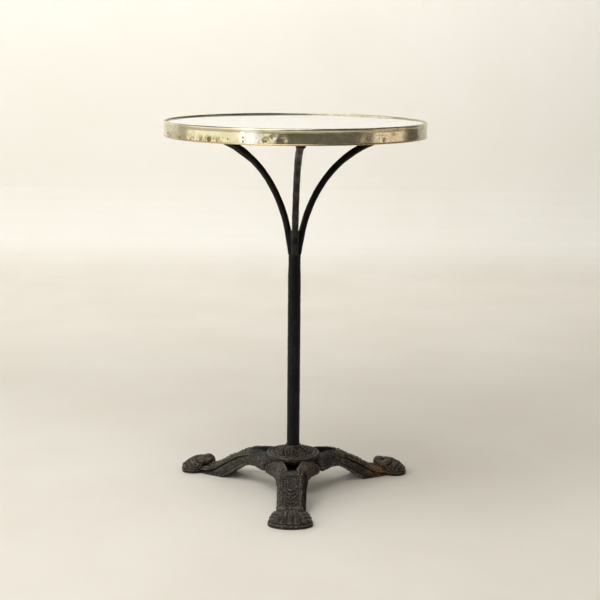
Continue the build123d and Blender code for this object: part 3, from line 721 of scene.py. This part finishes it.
def foot_field(x, y, z):
    """The distance field of a foot: a round shell on a plinth, with two rolls that overhang its back."""
    ay = np.abs(y)
    share = np.clip(ay / (FOOT_HALF_WIDTH + 1.0), 0, 1)
    top, slope = curve_through(FOOT_TOP, x)
    crown = top * np.sqrt(1 - 0.97 * share**2)
    lean = np.sqrt(1 + slope**2 + (top * share / (FOOT_HALF_WIDTH * np.sqrt(1.02 - share**2))) ** 2)
    dome = (z - crown) / lean
    leaning = x + 0.18 * np.maximum(z - 8.0, 0) * (x > FOOT_MIDDLE)
    plan = oval_field(leaning, y, FOOT_MIDDLE, FOOT_BACK, FOOT_REACH - FOOT_MIDDLE, FOOT_HALF_WIDTH)
    shell = blend_max(dome, plan, 3.0)
    along, across, above = (v - c for v, c in zip((x, ay, z), ROLL_CENTRE))
    droop = np.where(along < 0, 0.40, 0.12) * along
    away = [v / r for v, r in zip((along, across, above - droop), ROLL_RADII)]
    rolls = (np.sqrt(away[0] ** 2 + away[1] ** 2 + away[2] ** 2) - 1) * ROLL_RADII[2]
    shell = shell - foot_relief(x, y, z) + 2.2 * bell(rolls, 1.8, 1.5) * fade(x, 204, 212)
    return blend_min(shell, rolls, 0.7)


def leg_field(x, y, z):
    """The distance field of a leg casting along +X: web, side walls, wings, hollow, notch and foot."""
    ay = np.abs(y)
    top, top_slope = curve_through(LEG_TOP, x)
    width, _ = leg_width(x)
    root = 1 - fade(x, 64, 110)
    plan = shaft_plan(x + 0.2 * (z - 41) * root, y)
    wing = 1 - fade(x, 78, 112)
    drop = 7.0 * wing * np.clip((ay - 17.0) / 30.0, 0, 1.2) ** 1.5
    crown = top - 1.8 * (ay / width) ** 4 - drop
    upper = (z - crown - fade(x, 55, 62) * leg_relief(x, y)) / np.sqrt(1 + top_slope**2)
    depth = (top - z) / np.sqrt(1 + top_slope**2)
    line = 7.0 + 3.6 * fade(x, 82, 108)
    shaft = fade(x, 58, 70)
    reach = np.hypot(x, y)
    seam = ay * math.cos(SEAM_ANGLE) - x * math.sin(SEAM_ANGLE) + 1.2 + 3.3 * fade(reach, 46, 56)
    shaft = shaft * fade(-seam, 3.5, 8.0)
    groove = (4.5 - 2.3 * wing) * bell(depth - drop, line, 1.8)
    bead = 1.2 * fade(depth - drop, line, line + 1.5) - 0.5 * bell(depth, line - 4, 2)
    side = plan + shaft * (groove + bead)
    arch, arch_slope = curve_through(LEG_ARCH, x)
    under = (arch - z) / np.sqrt(1 + arch_slope**2)
    side = side + 0.3 * (1 - wing) * np.clip(10.0 - depth, 0, 12)
    lower_bead = bell(z - arch, 2.5, 2.2) - 0.8 * bell(z - arch, 7.0, 1.6)
    side = side - 1.2 * shaft * lower_bead * fade(x, 84, 96)
    body = blend_max(blend_max(upper, side, 6.0 + 8.0 * wing), np.maximum(under, -z), 1.6)
    body = blend_max(body, seam, 5.0 + 7.0 * fade(reach, 46, 58))
    lug = np.sqrt((x - LUG_AT[0]) ** 2 + (ay - LUG_AT[1]) ** 2 + (0.75 * (z - LUG_AT[2])) ** 2) - 6.0
    body = blend_min(body, lug, 5.0)
    body = blend_min(body, np.maximum(foot_field(x, y, z), -z), 1.8)
    roof = (z - top + drop + WEB_THICKNESS) / np.sqrt(1 + top_slope**2)
    hollow = blend_max(roof, shaft_plan(x, y) + WALL_THICKNESS + 0.6 * wing, 3.0 + 11.0 * wing)
    hollow = blend_max(blend_max(hollow, x - HOLLOW_END, 3.0), HOLLOW_START - reach, 2.0)
    body = blend_max(body, -hollow, 1.2)
    body = blend_max(body, HUB_GAP_RADIUS - reach, 0.8)
    body = blend_max(body, -np.maximum(reach - SPIGOT_RADIUS - 0.6, SPIGOT_SEAT - z), 0.8)
    body = blend_max(body, -np.maximum(reach - CAP_RADIUS - 0.7, CAP_SEAT - z), 0.8)
    body = blend_max(body, -blend_max(notch_field(x, y), 50.0 - z, 1.5), 1.6)
    rough = 0.30 * roughness_field(x, y, z, 17, 7, 3) + 0.22 * roughness_field(x, y, z, 6.0, 8, 4)
    return body + rough * fade(z, 0.5, 3.0)


def leg_meshes(look):
    """The three leg castings, all from one pattern."""
    step = 0.85
    points, faces = field_mesh(leg_field, (14, -60, -0.5), (FOOT_REACH + 1, 60, 79), step)
    points[:, 2] = np.maximum(points[:, 2], 0.0)
    points[:, 0] = np.minimum(points[:, 0], FOOT_REACH)
    for name, azimuth in LEG_AZIMUTHS.items():
        piece(f"leg_{name}_casting", (turned(points, azimuth), faces), "cast_iron", look, f"leg_{name}")


# ---------------------------------------------------------------- base cap

CAP_PROFILE = (
    (8, CAP_TOP), (14.5, CAP_TOP), (17, CAP_TOP - 4), (20, CAP_TOP - 8.4), (25, CAP_TOP - 11.5),
    (32, CAP_TOP - 13.2), (38, CAP_TOP - 14.2), (42, CAP_TOP - 15.6), (45, CAP_TOP - 17), (56, CAP_TOP - 17),
)

CAP_DISH = 68.0


def cap_relief(x, y):
    """The height of the scrolls and leaves, six times round the cap, and of the leaves of its boss."""
    radius, angle = np.hypot(x, y), np.arctan2(x, -y)
    across = ((angle * 6 / TURN) % 1.0 - 0.5) * TURN / 6 * 29.0
    curl = np.hypot(across + 5.0, radius - 29.5)
    scroll = 3.2 * bell(curl, 5.0, 1.3) + 3.0 * bell(curl, 0.0, 1.7)
    bend = across - 6.5 + 0.035 * (radius - 27) ** 2
    leaf = 3.4 * bell(bend, 0.0, 2.3) * window(radius, 20, 24, 33, 36.5)
    vein = 1.3 * bell(bend, 0.0, 0.7) * fade(radius, 21, 25)
    berries = 2.6 * bell(np.hypot(across - 12.5, radius - 33.0), 0.0, 1.7)
    lumps = 1.6 * roughness_field(x, y, 0 * x, 7.5, 9, 61) + 1.1 * roughness_field(x, y, 0 * x, 4.2, 9, 62)
    ring_area = window(radius, 18.5, 21, 39, 41)
    petal = np.abs(np.cos(angle * 4.5)) ** 0.7
    boss = window(radius, 12.5, 14.5, 21, 24) * (2.8 * petal - 1.6)
    tips = 2.4 * bell(radius, 20.5, 2.0) * petal
    return ring_area * (scroll + leaf - vein + berries + lumps - 1.0) + boss + tips


def cap_field(x, y, z):
    """The distance field of the base cap: rolled rim, inner ring, relief, boss, hub and spigot."""
    radius = np.hypot(x, y)
    surface, slope = curve_through(CAP_PROFILE, radius)
    upper = (z - surface - cap_relief(x, y)) / np.sqrt(1 + slope**2)
    body = blend_max(upper, radius - (CAP_RADIUS - 2.0), 1.5)
    body = np.maximum(body, 66.0 - z)
    inner_ring = np.hypot(radius - 43.0, z - (CAP_TOP - 15.8)) - 1.7
    rim = np.hypot(radius - (CAP_RADIUS - 3.2), (z - (CAP_TOP - 17.6)) * 1.1) - 3.1
    body = blend_min(blend_min(body, inner_ring, 1.0), rim, 1.0)
    lower = np.hypot((radius - (CAP_RADIUS - 2.2)) * 0.9, z - (CAP_TOP - 20.8)) - 1.9
    body = blend_min(body, lower, 0.7)
    body = blend_max(body, radius - CAP_RADIUS, 0.6)
    body = np.maximum(body, -largest(radius - 41.5, 20.0 - radius, z - CAP_DISH))
    hub = largest(radius - 17.0, 41.0 - z, z - 70.0)
    spigot = largest(radius - SPIGOT_RADIUS, 41.0 - radius, 60.5 - z, z - CAP_DISH)
    body = np.minimum(np.minimum(body, hub), spigot)
    socket = np.maximum(radius - (TUBE_RADIUS + 0.1), TUBE_BOTTOM - z)
    body = largest(body, THREAD_BORE - radius, -socket)
    return body + 0.10 * roughness_field(x, y, z, 4.5, 8, 6) + 0.10 * roughness_field(x, y, z, 13, 6, 8)


def cap_mesh(look):
    """The round cap on the base."""
    step = 0.6
    reach = CAP_RADIUS + 1
    points, faces = field_mesh(cap_field, (-reach, -reach, 40), (reach, reach, CAP_TOP + 2), step)
    points[:, 2] = np.minimum(points[:, 2], CAP_TOP + 0.6)
    piece("base_cap_casting", (points, faces), "cast_iron", look, "base_cap")


# ---------------------------------------------------------------- stem and branches

BRANCH_FOOT = (5.15, 460.0)
BRANCH_LEAN = 11.0
STRAIGHT_LENGTH = 46.4
STRAIGHT_TOP = 506.0
ROD_BEND = 0.0021
LOWER_BEND = 249.0
LOWER_END = 34.0
PAD_END = 236.0
PAD_HALF_WIDTH = 8.5
PAD_THICKNESS = 7.0
TAPER_START = 186.0
TAPER_END = 208.0
SCREW_RADII = (212.0, 226.0)


def arc_step(radius, start, end):
    """The step made by an arc whose direction turns from one angle to another, measured from upright."""
    return radius * np.array([math.cos(start) - math.cos(end), math.sin(end) - math.sin(start)])


def branch_line(count):
    """Points and directions of a branch's middle line in reach and height: straight, then two arcs."""
    lean, low_end = math.radians(BRANCH_LEAN), math.radians(LOWER_END)
    start, rising = np.array(BRANCH_FOOT), np.array([math.sin(lean), math.cos(lean)])
    bend = start + STRAIGHT_LENGTH * rising
    middle = bend + arc_step(LOWER_BEND, lean, low_end)
    upper_bend = (BOARD_BOTTOM - ROD_RADIUS - middle[1]) / (1 - math.sin(low_end))
    lower_run = LOWER_BEND * (low_end - lean)
    upper_run = upper_bend * (math.pi / 2 - low_end)
    points, angles = [], []
    for s in np.linspace(-STRAIGHT_LENGTH, lower_run + upper_run, count):
        if s < 0:
            angle = lean
            at = bend + s * rising
        elif s < lower_run:
            angle = lean + s / LOWER_BEND
            at = bend + arc_step(LOWER_BEND, lean, angle)
        else:
            angle = low_end + (s - lower_run) / upper_bend
            at = middle + arc_step(upper_bend, low_end, angle)
        points.append(at)
        angles.append(angle)
    return np.array(points), np.array(angles)


def branch_mesh(seed, swelling):
    """A forged branch along +X: a round rod that swells, then is hammered out into a flat pad."""
    rows, columns = 260, 40
    line, angles = branch_line(rows)
    reach, height, angles = line[:, :1], line[:, 1:], angles[:, None]
    around = np.linspace(0, TURN, columns, endpoint=False)
    c, s = np.cos(around), np.sin(around)
    flat = fade(reach, TAPER_START, TAPER_END)
    swell = swelling * window(reach, 84, 128, 172, 200)
    half_width = ROD_RADIUS + (PAD_HALF_WIDTH - ROD_RADIUS) * flat + 0.5 * swell
    half_height = ROD_RADIUS + (PAD_THICKNESS / 2 - ROD_RADIUS) * flat + swell
    power = 1.0 - 0.52 * flat
    past = np.clip(reach - (PAD_END - 7.0), 0, 7.0) / 7.2
    end_cap = np.sqrt(np.clip(1 - past**2, 0.02, 1))
    phases = np.random.default_rng(seed).uniform(0, 6.28, 3)
    along = 1.7 * np.arange(rows)[:, None]
    forged = 0.22 * np.sin(along / 9.0 + 2 * around + phases[0])
    forged = forged + 0.16 * np.sin(along / 5.2 - 3 * around + phases[1])
    forged = 1 + (forged + 0.12 * np.sin(along / 3.1 + 5 * around + phases[2])) / 14
    side = half_width * np.sign(c) * np.abs(c) ** power * end_cap * forged
    rise = half_height * np.sign(s) * np.abs(s) ** power * forged - 0.9 * swell
    height = height + flat * (ROD_RADIUS - PAD_THICKNESS / 2) + rise * np.sin(angles)
    reach = np.minimum(reach - rise * np.cos(angles), PAD_END)
    points = np.stack([reach, side, np.minimum(height, BOARD_BOTTOM)], 2).reshape(-1, 3)
    faces = grid_faces(rows, columns, False, True).tolist()
    first = list(range(columns))
    return points, faces + [first[::-1], [(rows - 1) * columns + k for k in first]]


def branch_pieces(look, front_look):
    """The three branches; their lowest stretch is taken up by the forged junction."""
    for seed, (name, azimuth) in enumerate(BRANCH_AZIMUTHS.items()):
        points, faces = branch_mesh(seed + 20, BRANCH_SWELLING[name])
        low = points[:, 2] < TUBE_TOP
        points[low, 0] = np.minimum(points[low, 0], STEM_BORE - 0.3)
        mesh = turned(points, azimuth), faces
        material = front_look if name == "front" else look
        piece(f"branch_{name}_rod", mesh, "wrought_iron", material, f"branch_{name}")


def rods_field(x, y, z):
    """The distance field of the three rods where they leave the stem."""
    lean = math.radians(BRANCH_LEAN)
    distance = 1e3
    line = BRANCH_FOOT[0] + (z - BRANCH_FOOT[1]) * math.tan(lean)
    line = line + ROD_BEND * np.maximum(z - STRAIGHT_TOP, 0) ** 2
    for azimuth in BRANCH_AZIMUTHS.values():
        reach, side = towards(x, y, azimuth)
        rod = np.hypot((reach - line) * math.cos(lean), side) - ROD_RADIUS
        distance = np.minimum(distance, rod)
    return distance


def junction_field(x, y, z):
    """The forged mass between the rods: a three-sided wedge that runs into the neck of the stem."""
    wedge = -1e3
    reach = BRANCH_FOOT[0] + (z - BRANCH_FOOT[1]) * math.tan(math.radians(BRANCH_LEAN))
    for azimuth in LEG_AZIMUTHS.values():
        wedge = np.maximum(wedge, towards(x, y, azimuth + 180)[0] - reach / 2)
    top = z - CORE_TOP + 0.8 * roughness_field(x, y, 0 * z, 9, 5, 12)
    body = blend_max(wedge - 1.2, top, 1.4)
    body = blend_min(body, np.maximum(rods_field(x, y, z) - 0.12, z - (CORE_TOP - 10)), 2.4)
    neck = NECK_RADIUS + 0.32 * np.maximum(z - TUBE_TOP - 3, 0)
    body = blend_max(body, np.hypot(x, y) - neck, 1.6)
    body = blend_max(body, TUBE_TOP - 1.5 - z, 0.5)
    return body + 0.12 * roughness_field(x, y, z, 6, 7, 14)


def stem_pieces(look):
    """The stem tube and the forged junction on top of it."""
    step = 0.5
    mesh = field_mesh(junction_field, (-24, -24, TUBE_TOP - 3), (24, 24, CORE_TOP + 3), step)
    piece("junction_forging", mesh, "wrought_iron", look, "junction_core", "branch_rivets")

    neck_start, neck_end = 425.0, 450.0
    profile = [(TUBE_RADIUS, z) for z in np.linspace(TUBE_BOTTOM, neck_start, 180)]
    for z in np.linspace(neck_start + 2, TUBE_TOP, 24):
        profile.append((TUBE_RADIUS - (TUBE_RADIUS - NECK_RADIUS) * float(fade(z, neck_start, neck_end)), z))
    profile += [(STEM_BORE, TUBE_TOP), (STEM_BORE, TUBE_BOTTOM)]

    def hammer(radius, height, azimuth):
        x, y = 12 * np.sin(azimuth), 12 * np.cos(azimuth)
        dents = 0.14 * roughness_field(x, y, height / 1.6, 9, 9, 31)
        dents = dents + 0.07 * roughness_field(x, y, height, 3.6, 8, 32)
        hammered = np.minimum(radius + dents - 0.12, TUBE_RADIUS)
        return np.where(radius > STEM_BORE + 1, hammered, radius), height

    tube = revolved(profile[::-1], 72, hammer)
    piece("stem_tube_iron", tube, "wrought_iron", look, "stem_tube", "foot_pin")


# ---------------------------------------------------------------- top

LAP_AZIMUTH = -20.5
LAP_HALF_LENGTH = math.radians(1.05) * BAND_RADIUS
LAP_STEP = 0.4
NAIL_AZIMUTHS = (-27.5, 20.0, 65.0, 110.0, 155.0, 200.0, 245.0, 290.0)
NAIL_LEVEL = 709.5
LAP_NAIL_LEVELS = (706.0, 713.0)
DENTS = (
    (-37.0, 707.0, 7.0, 1.1), (-33.0, 710.0, 4.0, -0.5), (-11.0, 707.0, 6.0, 0.9), (-8.0, 714.0, 5.0, 0.6),
    (-4.0, 709.0, 8.0, 0.8), (-47.0, 711.0, 11.0, 0.8), (-58.0, 709.0, 9.0, -0.5), (31.0, 711.0, 12.0, 0.8),
    (40.0, 706.0, 6.0, 0.7), (46.0, 713.0, 7.0, 0.6), (61.0, 709.0, 9.0, 0.8), (96.0, 710.0, 14.0, 1.0),
    (131.0, 707.0, 8.0, 0.8), (168.0, 712.0, 11.0, 0.9), (203.0, 708.0, 7.0, 1.0), (236.0, 711.0, 12.0, 0.9),
    (262.0, 707.0, 6.0, 0.7), (284.0, 712.0, 9.0, 0.8),
)


def band_wobble(radius, height, azimuth):
    """Dents, flats and waves of the thin metal, and the lap where the strip's ends meet."""
    face = radius > BAND_RADIUS - 2.5
    hand = 0.45 * np.sin(azimuth * 5 + 0.4) + 0.3 * np.sin(azimuth * 13 + 1.9)
    hand = hand + 0.16 * np.sin(azimuth * 29 + 0.7)
    facets = 0.55 * (np.abs((azimuth * 10 / TURN) % 1.0 - 0.5) * 2) ** 3
    moved = 0.35 * (hand - 0.9) - 0.4 * facets

    def arc_from(place):
        """The distance round the band from an azimuth in degrees."""
        return np.radians((np.degrees(azimuth) - place + 180) % 360 - 180) * BAND_RADIUS

    for place, level, size, depth in DENTS:
        moved = moved - depth * bell(arc_from(place), 0.0, size) * bell(height, level, 0.8 * size)
    bead = fade(height, TOP_HEIGHT - 9, TOP_HEIGHT - 6)
    on_lap = (np.abs(arc_from(LAP_AZIMUTH)) < LAP_HALF_LENGTH) * (height > BAND_BOTTOM + 2.8)
    lap = LAP_STEP * (1 - bead) * on_lap
    ripple = 0.18 * np.sin(azimuth * 7 + 1) + 0.12 * np.sin(azimuth * 19)
    radius = radius + face * ((1 - 0.75 * bead) * np.minimum(moved, 0.05) + lap)
    high = np.where(height > TOP_HEIGHT - 7, np.minimum(ripple, 0.0), 0.0)
    return np.minimum(radius, BAND_RADIUS + LAP_STEP), height + high


def band_piece(look):
    """The metal band round the top."""
    face = BAND_RADIUS - 0.9
    bead = 3.1
    inner = GLASS_RADIUS + 0.5
    outline = arc_points((face - bead + 0.6, TOP_HEIGHT - bead - 0.2), bead + 0.15, -38, 78, 15)
    outline += [(inner + 1.0, TOP_HEIGHT - 0.25), (inner + 0.2, TOP_HEIGHT - 0.9), (inner, TOP_HEIGHT - 1.8)]
    outline += [(inner, BOARD_TOP + 0.1), (BOARD_RADIUS + 0.05, BOARD_TOP + 0.1)]
    outline += [(BOARD_RADIUS + 0.05, BOARD_BOTTOM - 0.05), (BOARD_RADIUS - 6, BOARD_BOTTOM - 0.05)]
    outline += [(BOARD_RADIUS - 6.3, BAND_BOTTOM + 0.4), (BOARD_RADIUS - 6, BAND_BOTTOM)]
    outline += arc_points((face - 0.45, BAND_BOTTOM + 1.3), 1.3, -90, 75, 9)
    outline += [(face, BAND_BOTTOM + 3.0)]
    outline += [(face, z) for z in np.linspace(BAND_BOTTOM + 3.8, TOP_HEIGHT - 6.6, 23)]
    piece("rim_band_metal", revolved(outline[::-1], 1080, band_wobble), "band_metal", look, "rim_band")


def nail_mesh(azimuth, level, face):
    """One domed nail head with a short shank."""
    source = np.random.default_rng(int(azimuth * 7 + level))
    rings, around = 6, 20
    angles = TURN * np.arange(around) / around
    points = [(-3.0, 0.8 * math.cos(a), 0.8 * math.sin(a)) for a in angles]
    for ring in range(rings):
        climb = ring / (rings - 1) * math.pi / 2
        radius = 1.75 * math.cos(climb) if ring < rings - 1 else 0.12
        for a in angles:
            r = radius * (1 + 0.06 * math.sin(2 * a + azimuth) + 0.03 * source.normal())
            points.append((0.75 * math.sin(climb), r * math.cos(a), r * math.sin(a)))
    faces = grid_faces(rings + 1, around, False, True).tolist()
    end = list(range(around))
    faces += [end[::-1], [k + rings * around for k in end]]
    return turned(np.array(points) + (face, 0, level), azimuth), faces


def nail_piece(look):
    """All the nails in the band."""
    face = BAND_RADIUS - 1.35
    nails = [nail_mesh(azimuth, NAIL_LEVEL, face) for azimuth in NAIL_AZIMUTHS]
    nails += [nail_mesh(LAP_AZIMUTH, level, face + LAP_STEP) for level in LAP_NAIL_LEVELS]
    piece("rim_nail_heads", joined(nails), "nail_brass", look, "rim_nails")


def glass_piece(look):
    """The glass disc, with a rounded ground edge."""
    edge = 1.1
    segments = 256
    outline = [(r, GLASS_TOP) for r in np.linspace(2, GLASS_RADIUS - edge - 2, 26)]
    outline += arc_points((GLASS_RADIUS - edge, GLASS_TOP - edge), edge, 90, 0, 7)
    outline += arc_points((GLASS_RADIUS - edge, GLASS_BOTTOM + edge), edge, 0, -90, 7) + [(2, GLASS_BOTTOM)]
    points, _ = revolved(outline, segments)
    count = len(outline)
    faces = grid_faces(segments, count, True, False).tolist()
    top = [k * count for k in range(segments)]
    faces += [top, [k + count - 1 for k in reversed(top)]]
    piece("glass_top_disc", (points, faces), "opal_glass", look, "glass_top")


def plank_piece(name, low, high, look):
    """One plank of the round board, between two values of X, with its lower edges eased."""
    x = np.linspace(low + 0.25, high - 0.25, 40)
    half = np.sqrt((BOARD_RADIUS - 0.05) ** 2 - x**2)
    outline = np.concatenate([np.stack([x, -half], 1), np.stack([x, half], 1)[::-1]])
    middle = outline.mean(0)
    away = outline - middle
    ease = 1.4
    levels = [(BOARD_TOP - 0.02, 0.0), (BOARD_BOTTOM + ease, 0.0)]
    levels += [(BOARD_BOTTOM + ease * 0.35, ease * 0.3), (BOARD_BOTTOM, ease)]
    points = []
    for z, inset in levels:
        shrink = 1 - inset / np.abs(away).max(0)
        points += [(x, y, z) for x, y in middle + away * shrink]
    count = len(outline)
    faces = grid_faces(len(levels), count, False, True).tolist()
    faces += [list(range(count))[::-1], [k + count * (len(levels) - 1) for k in range(count)]]
    piece(f"plank_{name}", (points, faces), "board_wood", look, f"board_plank_{name}", smooth=False)


# ---------------------------------------------------------------- fasteners


def screw_field(x, y, z):
    """One round-headed wood screw that points up, with its head's upper face at height 0."""
    radius = np.hypot(x, y)
    slot = np.maximum(np.abs(y) - 0.55, z + 1.2)
    head = largest(np.hypot(radius, z - 4.2) - 6.2, z, radius - 4.0, -slot)
    return np.minimum(head, largest(radius - 1.9, -z - 0.5, z - 5))


def screw_piece(look):
    """The wood screws under the branch pads, each turned its own way."""
    points, faces = field_mesh(screw_field, (-4.5, -4.5, -2.6), (4.5, 4.5, 5.5), 0.3)
    parts = []
    for number, azimuth in enumerate(BRANCH_AZIMUTHS.values()):
        for other, radius in enumerate(SCREW_RADII):
            screw = spun(points, 0.7 + 1.9 * number + 1.1 * other)
            screw = screw + (radius, 0, BOARD_BOTTOM - PAD_THICKNESS)
            parts.append((turned(screw, azimuth), faces))
    piece("branch_screw_heads", joined(parts), "hardware_steel", look, "branch_screws")


def plate_field(x, y, z):
    """The clamp plate: a cast disc with a groove round its lower face and a bore."""
    radius = np.hypot(x, y)
    middle, half = (PLATE_BOTTOM + PLATE_TOP) / 2, (PLATE_TOP - PLATE_BOTTOM) / 2
    body = blend_max(radius - PLATE_RADIUS, np.abs(z - middle) - half, 1.4)
    groove = np.hypot(radius - 30.0, z - PLATE_BOTTOM) - 2.2
    body = np.maximum(blend_max(body, -groove, 1.0), THREAD_BORE - radius)
    return body + 0.14 * roughness_field(x, y, z, 7, 8, 41)


def nut_field(x, y, z):
    """The hexagon nut, with chamfered corners on its lower face."""
    radius = np.hypot(x, y)
    sides = -1e3
    for k in range(3):
        sides = np.maximum(sides, np.abs(towards(x, y, 60 * k)[0]) - NUT_FLATS / 2)
    body = largest(sides, NUT_BOTTOM - z, z - WASHER_BOTTOM)
    body = blend_max(body, (radius - 12.9 - (z - NUT_BOTTOM) * 1.4) / 1.7, 0.5)
    return np.maximum(body, THREAD_BORE + 0.1 - radius)


def thread_field(x, y, z):
    """The threaded end of the stem's foot, with a helical groove of 2 mm pitch."""
    radius, angle = np.hypot(x, y), np.arctan2(y, x)
    phase = (z / 2.0 - angle / TURN) % 1.0
    body = radius - (THREAD_RADIUS - 1.1 * np.abs(phase - 0.5) * 2)
    return largest(body, (radius - 6.2 - (z - THREAD_END)) / 1.4, THREAD_END - z, z - PLATE_TOP)


def clamp_pieces(iron, steel):
    """Plate, washer, nut and threaded end under the base."""
    reach = PLATE_RADIUS + 1
    step = 0.9
    plate = field_mesh(plate_field, (-reach, -reach, PLATE_BOTTOM), (reach, reach, PLATE_TOP), step)
    piece("clamp_plate_casting", plate, "cast_iron", iron, "clamp_plate")
    nut = field_mesh(nut_field, (-15, -15, NUT_BOTTOM), (15, 15, WASHER_BOTTOM), 0.45)
    piece("clamp_nut_hexagon", nut, "hardware_steel", steel, "clamp_nut")
    thread = field_mesh(thread_field, (-9, -9, THREAD_END), (9, 9, PLATE_TOP), 0.3)
    piece("stem_foot_thread", thread, "hardware_steel", steel, "stem_foot")
    low, high = WASHER_BOTTOM + 0.05, PLATE_BOTTOM
    bore = THREAD_BORE + 0.1
    ring = [(bore, low), (WASHER_RADIUS - 0.6, low), (WASHER_RADIUS, low + 0.6)]
    ring += [(WASHER_RADIUS, high - 0.3), (bore, high - 0.02)]
    washer = revolved(spaced(ring, 3)[::-1], 96)
    piece("clamp_washer_ring", washer, "hardware_steel", steel, "clamp_washer")


# ---------------------------------------------------------------- the table

cast_iron = cast_iron_look()
black_iron = black_iron_look()
rubbed_iron = black_iron_look("rubbed_iron", warm=1.0)
steel = steel_look()
wood = wood_look()

leg_meshes(cast_iron)
cap_mesh(cast_iron)
clamp_pieces(cast_iron, steel)
stem_pieces(black_iron)
branch_pieces(black_iron, rubbed_iron)
screw_piece(steel)
band_piece(band_look())
nail_piece(brass_nail_look())
glass_piece(glass_look())
for name, low, high in (
    ("left", -BOARD_RADIUS, -PLANK_EDGE),
    ("middle", -PLANK_EDGE, PLANK_EDGE),
    ("right", PLANK_EDGE, BOARD_RADIUS),
):
    plank_piece(name, low, high, wood)
felt = felt_look()
for node, material in (("bedding_felt", felt), ("board_tongue_left", wood), ("board_tongue_right", wood)):
    frame["nodes"][node].data.materials.clear()
    frame["nodes"][node].data.materials.append(material)

# ---------------------------------------------------------------- studio and camera

CAMERA_HEIGHT = 0.8951
CAMERA_DISTANCE = 2.759
CAMERA_AZIMUTH = 1.01
CAMERA_PITCH = 10.571
CAMERA_ROLL = 0.48
CAMERA_AIM = 0.775
LENS = 86.07


def add_light(name, place, aim, size, power, colour):
    """A soft rectangular light that faces a point."""
    data = bpy.data.lights.new(name, "AREA")
    data.shape = "RECTANGLE"
    data.size, data.size_y = size
    data.energy = power
    data.color = colour
    lamp = bpy.data.objects.new(name, data)
    lamp.location = place
    lamp.rotation_euler = (Vector(aim) - Vector(place)).to_track_quat("-Z", "Y").to_euler()
    bpy.context.scene.collection.objects.link(lamp)


def backdrop():
    """A pale floor that curves up into a pale wall behind the table and to its left."""
    left, back, right, front, bend, height, corner = -3.0, 2.75, 3.2, -3.2, 0.35, 3.2, 0.6
    plan = [((left, y), (1, 0)) for y in (front, 0.0)]
    for a in np.linspace(0, math.pi / 2, 10):
        at = (left + corner * (1 - math.cos(a)), back - corner + corner * math.sin(a))
        plan.append((at, (math.cos(a), -math.sin(a))))
    plan += [((x, back), (0, -1)) for x in (-1.0, 0.0, right)]
    rise = [(bend - bend * math.sin(a), bend - bend * math.cos(a)) for a in np.linspace(0, math.pi / 2, 12)]
    rise.append((0.0, height))
    points = [(x + nx * away, y + ny * away, z) for (x, y), (nx, ny) in plan for away, z in rise]
    faces = grid_faces(len(plan), len(rise)).tolist()
    faces.append([k * len(rise) for k in range(len(plan))] + [len(points)])
    points.append((right, front, 0.0))
    made = make_object("backdrop", np.array(points) / MM, faces, smooth=False)
    look = Look("pale_backdrop", Roughness=0.9)
    cloud = look.noise(420, 4)
    floor = look.colours(cloud, (0.35, (0.80, 0.77, 0.71)), (0.65, (0.84, 0.815, 0.765)))
    wall = look.colours(cloud, (0.35, (0.90, 0.885, 0.84)), (0.65, (0.92, 0.91, 0.875)))
    look.colour = look.mix(look.band(look.axis(2), 1.0, 120.0), floor, wall)
    made.data.materials.append(look.use())


def camera():
    """The camera at the viewing angle of the picture."""
    data = bpy.data.cameras.new("camera")
    data.lens = LENS
    data.sensor_width = 36.0
    made = bpy.data.objects.new("camera", data)
    azimuth = math.radians(CAMERA_AZIMUTH)
    ahead, aside = math.cos(azimuth), math.sin(azimuth)
    made.location = (CAMERA_DISTANCE * aside, -CAMERA_DISTANCE * ahead, CAMERA_HEIGHT)
    facing = Matrix.Identity(4)
    for angle, axis in ((CAMERA_AIM, "Z"), (90 - CAMERA_PITCH, "X"), (CAMERA_ROLL, "Z")):
        facing = facing @ Matrix.Rotation(math.radians(angle), 4, axis)
    made.rotation_euler = facing.to_euler()
    bpy.context.scene.collection.objects.link(made)
    bpy.context.scene.camera = made


def world():
    """Dim even light from all round."""
    made = bpy.data.worlds.new("studio")
    made.use_nodes = True
    background = made.node_tree.nodes["Background"]
    background.inputs["Color"].default_value = (1.0, 0.94, 0.82, 1)
    background.inputs["Strength"].default_value = 0.15
    bpy.context.scene.world = made


backdrop()
camera()
world()
add_light("window_left", (-2.15, -0.96, 1.25), (0, 0, 0.7), (3.67, 2.2), 28, (1.0, 0.985, 0.94))
add_light("window_front", (-0.86, -2.24, 1.25), (0, 0, 0.7), (0.6, 1.8), 4.4, (1.0, 0.97, 0.90))
add_light("window_right", (2.29, -0.20, 0.70), (0, 0, 0.55), (1.6, 0.7), 3.4, (1.0, 0.87, 0.70))
add_light("overhead", (-0.7, -1.0, 2.8), (0, -0.6, 0), (2.4, 2.4), 51, (1.0, 0.985, 0.955))
add_light("wall_wash", (-0.4, 1.1, 2.9), (-0.4, 2.75, 2.75), (4.4, 0.6), 78, (1.0, 0.98, 0.94))
bpy.context.scene.view_settings.view_transform = "Standard"
